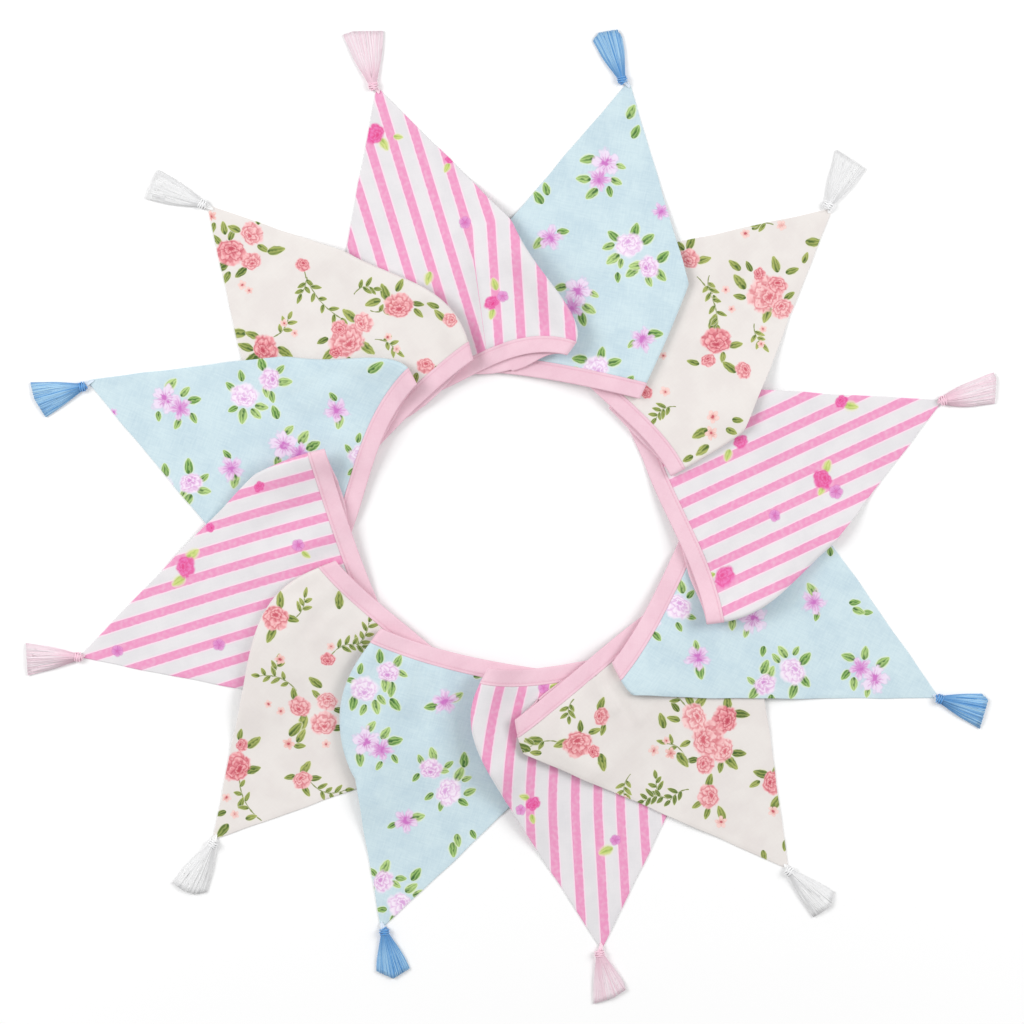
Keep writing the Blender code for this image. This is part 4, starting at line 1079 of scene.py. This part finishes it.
def markGap(points, mark):
    # about how far points lie outside a mark's ellipse
    x, y, long, wide, angle, _ = mark
    dx, dy = points[..., 0] - x, points[..., 1] - y
    c, s = math.cos(angle), math.sin(angle)
    u, v = (c * dx + s * dy) / long, (c * dy - s * dx) / wide
    k = np.hypot(u, v)
    return k * (k - 1) / np.maximum(np.hypot(u / long, v / wide), 1e-9), u, v


def sortLayers(marks, count):
    # a mark goes over what it meets if there is a layer left, and otherwise where there is most room
    turn = around(12)
    layers = [[] for _ in range(count)]
    for mark in marks:
        x, y, long, wide, angle, _ = mark
        c, s = math.cos(angle), math.sin(angle)
        u, v = long * np.append(np.cos(turn), 0.0), wide * np.append(np.sin(turn), 0.0)
        rim = np.column_stack([x + c * u - s * v, y + s * u + c * v])
        room = [min((markGap(rim, other)[0].min() for other in layer), default=math.inf) for layer in layers]
        met = [k for k in range(count) if room[k] < printing["apart"]]
        lowest = met[-1] + 1 if met else 0
        layers[lowest if lowest < count else int(np.argmax(room))].append(mark)
    return layers


def cornerPoints(mesh):
    # which point each corner of each face has
    corners = np.empty(len(mesh.loops), dtype=np.int32)
    mesh.loops.foreach_get("vertex_index", corners)
    return corners


def printOn(mesh, pennant, flat):
    # each face takes the mark that it is nearest to, and its corners the places within that mark
    places = flat[cornerPoints(mesh)].reshape(-1, 4, 2)
    middle = places.mean(axis=1)
    for kind, marks in marksOf(pennant).items():
        layers = sortLayers(marks, printing["layers"][kind]) if marks else ()
        for number, layer in enumerate(layers, 1):
            best = np.full(len(middle), printing["reach"])
            values = np.zeros((len(middle), 4, 3), dtype=np.float32)
            values[:, :, :2] = printing["away"]
            for mark in layer:
                gap = markGap(middle, mark)[0]
                near = gap < best
                best[near] = gap[near]
                _, u, v = markGap(places[near], mark)
                if kind == "stem":
                    v = v * mark[3] / printing["stemHalf"]
                values[near, :, 0], values[near, :, 1], values[near, :, 2] = u, v, mark[5]
            attributes = mesh.attributes.new(f"{kind}{number}", "FLOAT_VECTOR", "CORNER")
            attributes.data.foreach_set("vector", values.ravel())


# shader trees: values that can be added and multiplied, and functions that make the nodes

class Value:
    # what a socket gives; a sum or a product with it makes a Math node

    def __init__(self, tree, socket):
        self.tree, self.socket = tree, socket

    def __add__(self, other):
        return calc("ADD", self, other)

    def __sub__(self, other):
        return calc("SUBTRACT", self, other)

    def __rsub__(self, other):
        return calc("SUBTRACT", other, self)

    def __mul__(self, other):
        return calc("MULTIPLY", self, other)

    def __truediv__(self, other):
        return calc("DIVIDE", self, other)

    def __rtruediv__(self, other):
        return calc("DIVIDE", other, self)


def put(socket, value):
    if isinstance(value, Value):
        value.tree.links.new(value.socket, socket)
    else:
        socket.default_value = value


def makeNode(tree, kind, inputs, **settings):
    # inputs go by name or by number
    node = tree.nodes.new("ShaderNode" + kind)
    for name, setting in settings.items():
        setattr(node, name, setting)
    for place, value in inputs.items():
        put(node.inputs[place], value)
    return node


def calc(operation, *values):
    tree = next(value.tree for value in values if isinstance(value, Value))
    return Value(tree, makeNode(tree, "Math", dict(enumerate(values)), operation=operation).outputs[0])


def clamped(value):
    # the Math node that made it holds it between 0 and 1
    value.socket.node.use_clamp = True
    return value


def magnitude(value):
    return calc("ABSOLUTE", value)


def wave(value):
    return calc("SINE", value)


def length(x, y):
    return calc("SQRT", x * x + y * y)


def ramp(value, low, high, most=1.0, least=0.0):
    # an S curve from least to most as the value goes from low to high
    ends = {"Value": value, "From Min": low, "From Max": high, "To Min": least, "To Max": most}
    node = makeNode(value.tree, "MapRange", ends, interpolation_type="SMOOTHSTEP")
    return Value(value.tree, node.outputs["Result"])


def paint(colour, *coats):
    # coats laid over a colour in turn: how much of each shows, and its own colour
    for share, coat in coats:
        node = makeNode(share.tree, "Mix", {0: share, 6: colour, 7: coat}, data_type="RGBA")
        colour = Value(share.tree, node.outputs[2])
    return colour


def split(vector):
    node = makeNode(vector.tree, "SeparateXYZ", {0: vector})
    return [Value(vector.tree, socket) for socket in node.outputs]


def noise(place, scale, detail=2.0, dimensions="2D"):
    inputs = {"Vector": place, "Scale": scale, "Detail": detail}
    node = makeNode(place.tree, "TexNoise", inputs, noise_dimensions=dimensions)
    return Value(place.tree, node.outputs["Fac"])


def attribute(tree, name):
    return Value(tree, makeNode(tree, "Attribute", {}, attribute_name=name).outputs["Vector"])


def newGroup(name, vector, colours, numbers, gives=("Color",)):
    # the group's inputs are a vector, colours and plain numbers; it gives a colour and plain numbers
    tree = bpy.data.node_groups.new(name, "ShaderNodeTree")
    kinds = {vector: "Vector"}
    kinds.update((label, "Color") for label in colours)
    kinds.update((label, "Float") for label in numbers)
    for label, kind in kinds.items():
        tree.interface.new_socket(label, in_out="INPUT", socket_type="NodeSocket" + kind)
    for label in gives:
        kind = "Color" if label == "Color" else "Float"
        tree.interface.new_socket(label, in_out="OUTPUT", socket_type="NodeSocket" + kind)
    source = tree.nodes.new("NodeGroupInput").outputs
    given = {label: Value(tree, source[label]) for label in kinds}
    return tree, given, tree.nodes.new("NodeGroupOutput").inputs


def useGroup(tree, group, **values):
    node = makeNode(tree, "Group", values, node_tree=group)
    return {socket.name: Value(tree, socket) for socket in node.outputs}


def leafGroup():
    # a leaf is as wide as one minus its length squared, fuller towards its root; strokes run down it
    # from a dark root to a pale rim and tip, and a soft halo of colour lies round it
    tree, given, out = newGroup("printedLeaf", "Place", ("Behind", "Light", "Deep", "Dark", "Halo"),
                                ("Wobble", "Soft"))
    wobble, light, dark, halo = (given[label] for label in ("Wobble", "Light", "Dark", "Halo"))
    x, y, code = split(given["Place"])
    there = calc("GREATER_THAN", code, 0.5)
    tone = clamped(code - 1.0)
    wide = calc("POWER", clamped(1.0 - x * x), 0.7) * (x * -0.22 + 0.93) + wobble * 0.22
    past = calc("MAXIMUM", magnitude(x) - 0.9, 0.0)
    aside = magnitude(y)
    room = wide - (past * 2.5 + aside)
    root = wobble * 1.4 + (x * 0.55 + aside)
    stroke = wave(wobble * 5.0 + y / (x * -0.35 + 0.9) * 8.5)
    green = paint(
        light,
        (ramp(tone, 0.0, 0.7), given["Deep"]),
        (ramp(tone, 0.75, 1.0, 0.8), dark),
        (ramp(root, 0.55, -0.45, 0.9), dark),
        (ramp(stroke, 0.1, 0.9, 0.45), light),
        (ramp(stroke, -0.4, -0.95, 0.5), dark),
        (ramp(x, 0.35, 1.0, 0.6), light),
        (ramp(room, 0.16, 0.02, 0.45), halo),
    )
    within = clamped((room + 0.06) / given["Soft"])
    put(out["Color"], paint(given["Behind"], (ramp(room, -0.40, -0.02, 0.5) * there, halo),
                            (within * there, green)))
    return tree


# rings of a rose's petals from the outside in: where they reach, how far their lobes go, how many, turn
roseRings = ((0.92, 0.10, 5, 0.4), (0.58, 0.13, 4, 1.9), (0.30, 0.08, 3, 0.2))


def roseColour(given, x, y, radius, phase, tone):
    # rings of lobed petals about a heart above the middle, each ring dark in its depth and pale at its
    # rim, and casting a shade on the ring without
    wobble, depth = given["Wobble"], given["Depth"]
    high = clamped(1.0 - radius) * 0.4 + y
    inner, bearing = length(x, high), calc("ARCTAN2", high, x)
    petal = paint(given["Petal"], (tone, given["DeepPetal"]))
    heart = paint(given["Heart"], (tone, given["DeepHeart"]))
    stroke = wave(bearing * 9.0 + (wobble * 8.0 + phase))
    body = None
    for reach, lobed, count, turn in roseRings:
        lobe = magnitude(wave(bearing * (count / 2) + (phase + turn)))
        edge = lobe * lobed + (wobble * 0.38 + reach)
        place = stroke * 0.10 + inner / edge
        between = ramp(lobe, 0.3, 0.05, 0.7) * ramp(place, 0.45, 0.8) * depth
        petals = paint(heart, (ramp(place, 0.3, 0.9), petal), (ramp(place, 0.8, 0.97, 0.4), given["Petal"]),
                       (between, heart))
        beyond = inner - edge
        shade = ramp(beyond, 0.2, 0.0, 0.85) * depth
        body = paint(body, (shade, heart), (ramp(beyond, 0.05, -0.06), petals)) if body else petals
    return paint(body, (ramp(inner, 0.15, 0.04, 0.8), heart))


def starColour(given, angle, radius, fifth, room, tone):
    # broad petals, pale between streaks that leave a dark heart, or with a darker rim
    wobble, rim, pale, deep = (given[label] for label in ("Wobble", "Rim", "Star", "DeepStar"))
    shaken = wobble * 0.6 + radius
    streak = wave(wobble * 6.0 + angle * 15.0)
    dark = 1.0 - rim
    return paint(
        pale,
        (tone * ramp(shaken, 0.35, 0.95, 0.45, 1.0), deep),
        (ramp(shaken, 0.5, 0.1, 1.1 - rim), deep),
        (ramp(fifth, 0.45, 0.08, 0.5), deep),
        (ramp(streak, 0.2, 0.9) * ramp(shaken, 0.75, 0.2) * dark, given["DeepHeart"]),
        (ramp(streak, -0.2, -0.9) * ramp(shaken, 0.25, 0.7, 0.6), pale),
        (ramp(room, 0.16, 0.03) * rim, deep),
        (ramp(shaken, 0.24, 0.10, 1.4) * dark, given["DeepHeart"]),
    )


def flowerGroup():
    # the code's whole part tells a rose from a star of five petals, and its rest is the tone
    tree, given, out = newGroup(
        "printedFlower", "Place",
        ("Behind", "Petal", "Heart", "DeepPetal", "DeepHeart", "Star", "DeepStar"),
        ("Wobble", "Depth", "Soft", "Lobed", "Rim"))
    wobble, wavy = given["Wobble"], given["Lobed"]
    x, y, code = split(given["Place"])
    star, tone = calc("GREATER_THAN", code, 2.5), calc("FRACT", code)
    radius, angle = length(x, y), calc("ARCTAN2", y, x)
    phase = code * 9.0
    roseRim = magnitude(wave(angle * 2.5 + phase)) * 0.12 + (wobble * 0.2 + 0.87)
    fifth = magnitude(calc("COSINE", angle * 2.5))
    starRim = calc("POWER", fifth, tone * 0.6 + 0.4) * wavy + (wobble * wavy + (0.98 - wavy))
    room = star * starRim + (1.0 - star) * roseRim - radius
    within = clamped((room + 0.03) / given["Soft"]) * calc("GREATER_THAN", code, 0.5)
    rose = roseColour(given, x, y, radius, phase, tone)
    flower = paint(rose, (star, starColour(given, angle, radius, fifth, room, tone)))
    put(out["Color"], paint(given["Behind"], (within * 0.96, flower)))
    return tree


def stemGroup():
    # a thin line bent as a parabola
    tree, given, out = newGroup("printedStem", "Place", ("Behind", "Green", "Halo"), ("Wobble",))
    x, y, code = split(given["Place"])
    bend = (code - 1.5) * (printing["stemCurl"] / printing["stemHalf"])
    off = given["Wobble"] * 1.6 + magnitude(y - bend * (0.5 - x * x))
    within = calc("GREATER_THAN", code, 0.5) * calc("LESS_THAN", magnitude(x), 1.0)
    put(out["Color"], paint(given["Behind"], (ramp(off, 2.2, 1.0, 0.35) * within, given["Halo"]),
                            (ramp(off, 1.3, 0.7, 0.9) * within, given["Green"])))
    return tree


weave = {
    "slubs": ((0.11, 0.9, 0.0), (0.9, 0.11, 0.0)),      # noise stretched along either thread
    "blotch": 0.045,            # scales of the worn patches and of the print's unsteady edges, for mm
    "fine": 0.36,
}


def cottonGroup():
    # plain weave: two sets of fine threads, every other crossing raised, with slubs along both ways
    tree, given, out = newGroup("cotton", "Flat", ("Ground", "Cast"), ("Slub", "Pitch"),
                                ("Color", "Height", "Wobble"))
    flat = given["Flat"]
    u, v, _ = split(flat)
    turn = math.pi / given["Pitch"]
    over = wave(u * turn) * wave(v * turn)
    stretched = [Value(tree, makeNode(tree, "Mapping", {"Vector": flat, "Scale": scale}).outputs[0])
                 for scale in weave["slubs"]]
    slub = noise(stretched[0], 1.0) + noise(stretched[1], 1.0) - 1.0
    worn = ramp(noise(flat, weave["blotch"], 3.0), 0.35, 0.68, 0.7, 0.2)
    put(out["Color"], paint(given["Ground"], (clamped(slub * (given["Slub"] * 6.0) + worn), given["Cast"])))
    put(out["Height"], slub * given["Slub"] + over * 0.5)
    put(out["Wobble"], noise(flat, weave["fine"], 0.6) - 0.5)
    return tree


groups = {"leaf": leafGroup(), "flower": flowerGroup(), "stem": stemGroup(), "cotton": cottonGroup()}


# materials

def hue(code):
    # a screen colour's linear values, for a colour socket
    parts = [int(code[k:k + 2], 16) / 255 for k in (0, 2, 4)]
    return (*[p / 12.92 if p < 0.04045 else ((p + 0.055) / 1.055) ** 2.4 for p in parts], 1.0)


def shades(**parts):
    # colours by their screen codes, beside plain numbers
    return {name: hue(part) if isinstance(part, str) else part for name, part in parts.items()}


cotton = {
    "roughness": 0.86, "specular": 0.22, "sheen": 0.12,
    "pitch": 0.62,              # of the weave, mm
    "weave": 0.22, "weaveDeep": 0.10 * mm,
}
cloths = {
    "blue": {
        "ground": shades(Ground="cfe2e8", Cast="c0d5df", Slub=0.16),
        "leaf": shades(Light="bcd68c", Deep="7ba657", Dark="40693a", Halo="e4eec4", Soft=0.20),
        "flower": shades(Petal="f7ebf7", Heart="dcaadc", DeepPetal="f0d4ee", DeepHeart="c968bd",
                         Star="eedff2", DeepStar="d388cb", Depth=0.5, Soft=0.22, Lobed=0.50, Rim=0.4),
    },
    "cream": {
        "ground": shades(Ground="e9e4e0", Cast="e1dad7", Slub=0.05),
        "stem": shades(Green="7f8a48", Halo="e4e4cc"),
        "leaf": shades(Light="b7bd70", Deep="8b9a50", Dark="48632f", Halo="e4e4cc", Soft=0.18),
        "flower": shades(Petal="f8d5d3", Heart="de717c", DeepPetal="ec939b", DeepHeart="bc3850",
                         Star="f6d6d0", DeepStar="e6a59c", Depth=0.75, Soft=0.14, Lobed=0.42, Rim=0.4),
    },
    "stripe": {
        "ground": shades(Ground="e7e4e6", Cast="dddbde", Slub=0.06),
        # a pale border and then the stripe upon it: half width, how soft its edge is, colour
        "stripes": ((4.0, 0.3, hue("f4dce8")), (3.05, 0.25, hue("ea99c1"))),
        "fade": 0.55,
        "leaf": shades(Light="d3dc8c", Deep="c0d074", Dark="a3bc60", Halo="e8e6c4", Soft=0.45),
        "flower": shades(Petal="ea88c4", Heart="e2549c", DeepPetal="e664a6", DeepHeart="de3a82",
                         Star="e6a0d4", DeepStar="bb4aa6", Depth=0.55, Soft=0.22, Lobed=0.14, Rim=0.85),
    },
}


def newMaterial(name, roughness, specular, sheen):
    # the material, its tree, and the inputs of its one shader
    material = bpy.data.materials.new(name)
    material.use_nodes = True
    shader = material.node_tree.nodes["Principled BSDF"].inputs
    put(shader["Roughness"], roughness)
    put(shader["Specular IOR Level"], specular)
    put(shader["Sheen Weight"], sheen)
    put(shader["Sheen Roughness"], 0.5)
    return material, material.node_tree, shader


def flatPlace(tree):
    return Value(tree, makeNode(tree, "UVMap", {}, uv_map="flat").outputs[0])


def solidPlace(tree):
    return Value(tree, makeNode(tree, "TexCoord", {}).outputs["Object"])


def bump(shader, height, strength, deep):
    node = makeNode(height.tree, "Bump", {"Height": height, "Strength": strength, "Distance": deep})
    put(shader["Normal"], Value(height.tree, node.outputs[0]))


def striped(look, tree, flat, wobble, colour):
    # stripes at an even pitch across, of which a pleat hides some; worn thin here and there
    beside, hidden, _ = split(attribute(tree, "pleat"))
    across = hidden * ramp(beside, -0.4, 0.4) + split(flat)[0]
    off = calc("PINGPONG", wobble * 0.4 + across, stripePitch / 2)
    worn = clamped(wobble * look["fade"] + 0.93)
    return paint(colour, *((ramp(off, half + soft, half - soft) * worn, shade)
                           for half, soft, shade in look["stripes"]))


def clothMaterial(name):
    look = cloths[name]
    material, tree, shader = newMaterial(name, cotton["roughness"], cotton["specular"], cotton["sheen"])
    flat = flatPlace(tree)
    woven = useGroup(tree, groups["cotton"], Flat=flat, Pitch=cotton["pitch"], **look["ground"])
    colour, wobble = woven["Color"], woven["Wobble"]
    if "stripes" in look:
        colour = striped(look, tree, flat, wobble, colour)
    for kind, layers in printing["layers"].items():
        for number in range(layers if kind in look else 0):
            colour = useGroup(tree, groups[kind], Behind=colour, Place=attribute(tree, f"{kind}{number + 1}"),
                              Wobble=wobble, **look[kind])["Color"]
    put(shader["Base Color"], colour)
    bump(shader, woven["Height"], cotton["weave"], cotton["weaveDeep"])
    return material


tapeLook = {
    "ground": shades(Ground="f0cdd9", Cast="e8c0ce", Slub=0.08),
    # shade is a painted shade colour, laid along the row of stitches and on the tape's folded edges
    "shade": hue("dda3b7"), "sewing": hue("f0b9cb"),
    "roughness": 0.82,
    "dimple": 1.25,             # half of a stitch's pitch, mm
    "diagonal": 0.7071,         # turns the weave by 45 degrees
}


def tapeMaterial():
    # bias cloth, with painted shade along the row of stitches and at its two folded edges
    material, tree, shader = newMaterial("tape", tapeLook["roughness"], cotton["specular"], cotton["sheen"])
    along, across, _ = split(flatPlace(tree))
    bias = makeNode(tree, "CombineXYZ", {0: (along + across) * tapeLook["diagonal"],
                                         1: (along - across) * tapeLook["diagonal"]})
    woven = useGroup(tree, groups["cotton"], Flat=Value(tree, bias.outputs[0]), Pitch=cotton["pitch"],
                     **tapeLook["ground"])
    fromRow = magnitude(across - stitches["in"] / mm)
    half = ring["tapeWide"] / mm / 2
    toEdge = half - magnitude(across - half)
    # painted shade along the row of stitches and at both folded edges
    put(shader["Base Color"], paint(woven["Color"], (ramp(fromRow, 0.7, 0.1, 0.35), tapeLook["shade"]),
                                    (ramp(toEdge, 0.5, 0.0, 0.4), tapeLook["shade"])))
    pucker = wave(along * (math.pi / tapeLook["dimple"])) * ramp(fromRow, 1.6, 0.2)
    bump(shader, pucker * 1.2 + woven["Height"], 0.25, 0.12 * mm)
    return material


def sewingMaterial():
    material, tree, shader = newMaterial("sewing_thread", 0.5, 0.35, 0.1)
    grain = noise(solidPlace(tree), 900.0, dimensions="3D")
    put(shader["Base Color"], paint(tapeLook["sewing"], (grain, tapeLook["ground"]["Ground"])))
    bump(shader, grain, 0.3, 0.05 * mm)
    return material


threadLooks = {
    # light, deep, by the knot (a deeper colour that stands as painted shade of the crowded threads), and over
    # the pennant's tip
    "pink": (hue("fff4f9"), hue("fadbe7"), hue("f6c3d7"), hue("fbdde8")),
    "blue": (hue("b4def9"), hue("4293d9"), hue("418cd0"), hue("dfeaf6")),
    "white": (hue("fcfcfc"), hue("f7f7f8"), hue("f3f3f4"), hue("f7f7f7")),
}


def threadMaterial(name):
    # silky thread: each strand has its own tone, and a fine twist runs along it; towards the knot the colour
    # deepens as painted shade where the threads crowd
    light, deep, near, over = threadLooks[name]
    material, tree, shader = newMaterial("thread_" + name, 0.42, 0.4, 0.25)
    run, tone, _ = split(flatPlace(tree))
    twist = wave(run * 7.0 + tone * 40.0)
    put(shader["Base Color"], paint(light, (clamped(twist * 0.10 + tone), deep),
                                    (ramp(run, 24.0, 7.0, 0.65), near), (ramp(tone, 1.2, 1.8), over)))
    bump(shader, twist, 0.25, 0.06 * mm)
    return material


def floorMaterial():
    material, tree, shader = newMaterial("floor", 0.9, 0.1, 0.0)
    patches = noise(solidPlace(tree), 3.0, dimensions="3D")
    pale, dim = ((*[part * share for part in studio["floor"]], 1.0) for share in (1.0, 0.99))
    put(shader["Base Color"], paint(pale, (patches, dim)))
    return material


materials = {name: clothMaterial(name) for name in cloths}
materials["tape"], materials["sewing"] = tapeMaterial(), sewingMaterial()
materials.update({"thread_" + name: threadMaterial(name) for name in threadLooks})
floor.data.materials.append(floorMaterial())
print("materials")


# all the pieces

def addMap(piece, flat):
    # a UV map in millimetres of flat cloth, or of thread
    layer = piece.data.uv_layers.new(name="flat")
    layer.data.foreach_set("uv", np.asarray(flat, dtype=np.float32)[cornerPoints(piece.data)].ravel())


def stripePlaces(piece, pennant, shown):
    # places on the print, moved so that the stripes come at the same pitch on every striped pennant
    middle, pitch, sway = stripeLay[pennant.number]
    if pennant.number == pleat["pennant"]:
        beside, down = besidePleat(shown)
        hidden = pleat["hidden"] * down * stripePitch / pitch
        layer = piece.data.attributes.new("pleat", "FLOAT_VECTOR", "POINT")
        layer.data.foreach_set("vector", np.column_stack([beside, hidden, down]).astype(np.float32).ravel())
    swayed = shown[:, 0] - middle + sway * np.maximum(shown[:, 1] - stripeSwayFrom, 0.0) ** 2
    return np.column_stack([swayed * stripePitch / pitch, shown[:, 1]])


def makePennants():
    made = []
    for pennant in pennants:
        name = f"pennant_{pennant.number:02d}"
        verts, faces, flat = clothShell(pennant)
        piece = addPiece(name + "_cloth", verts, faces, name, pennant.cloth, materials[pennant.cloth])
        shown = pennant.printed(flat) / mm
        printOn(piece.data, pennant, shown)
        if pennant.number in stripeLay:
            shown = stripePlaces(piece, pennant, shown)
        # each pennant has its own stretch of the weave
        addMap(piece, shown + (0.0, 300.0 * pennant.number))
        made.append(piece)
    for pennant, piece in zip(pennants, made):
        wide = 2 * pennant.halfWidth(pennant.tall)
        under = [made[(pennant.number - 1 + step) % len(made)] for step in (1, 2)]
        (wide + ring["tipWide"]) / 2 * pennant.tall
    return made


def makeTape():
    stations = tapeFrame()
    verts, faces, flat = tapeShell(stations)
    piece = addPiece("binding_tape_folded", verts, faces, "binding_tape", "tape", materials["tape"])
    addMap(piece, flat / mm)
    sewing = addPiece("binding_tape_stitches", *stitchShells(stations), None, "tape", materials["sewing"])
    return piece, sewing, stations["run"][-1]


def makeTassels():
    for pennant, row in zip(pennants, tasselRows):
        name = f"tassel_{pennant.number:02d}"
        verts, faces, flat = tasselShell(row, pennant.tip, pennant.number)
        thread = "thread_" + row[0]
        piece = addPiece(name + "_threads", verts, faces, name, thread, materials[thread])
        addMap(piece, flat)


laid = makePennants()
print("cloths", sum(len(piece.data.polygons) for piece in laid))
tapePiece, sewing, tapeLong = makeTape()
print("tape", round(tapeLong, 3), len(tapePiece.data.polygons), len(sewing.data.polygons))
makeTassels()
print("tassels")
print("triangles", sum(len(face.vertices) - 2 for item in bpy.data.objects
                       if item.name.split("_")[-1] in ("cloth", "folded", "stitches", "threads")
                       for face in item.data.polygons))
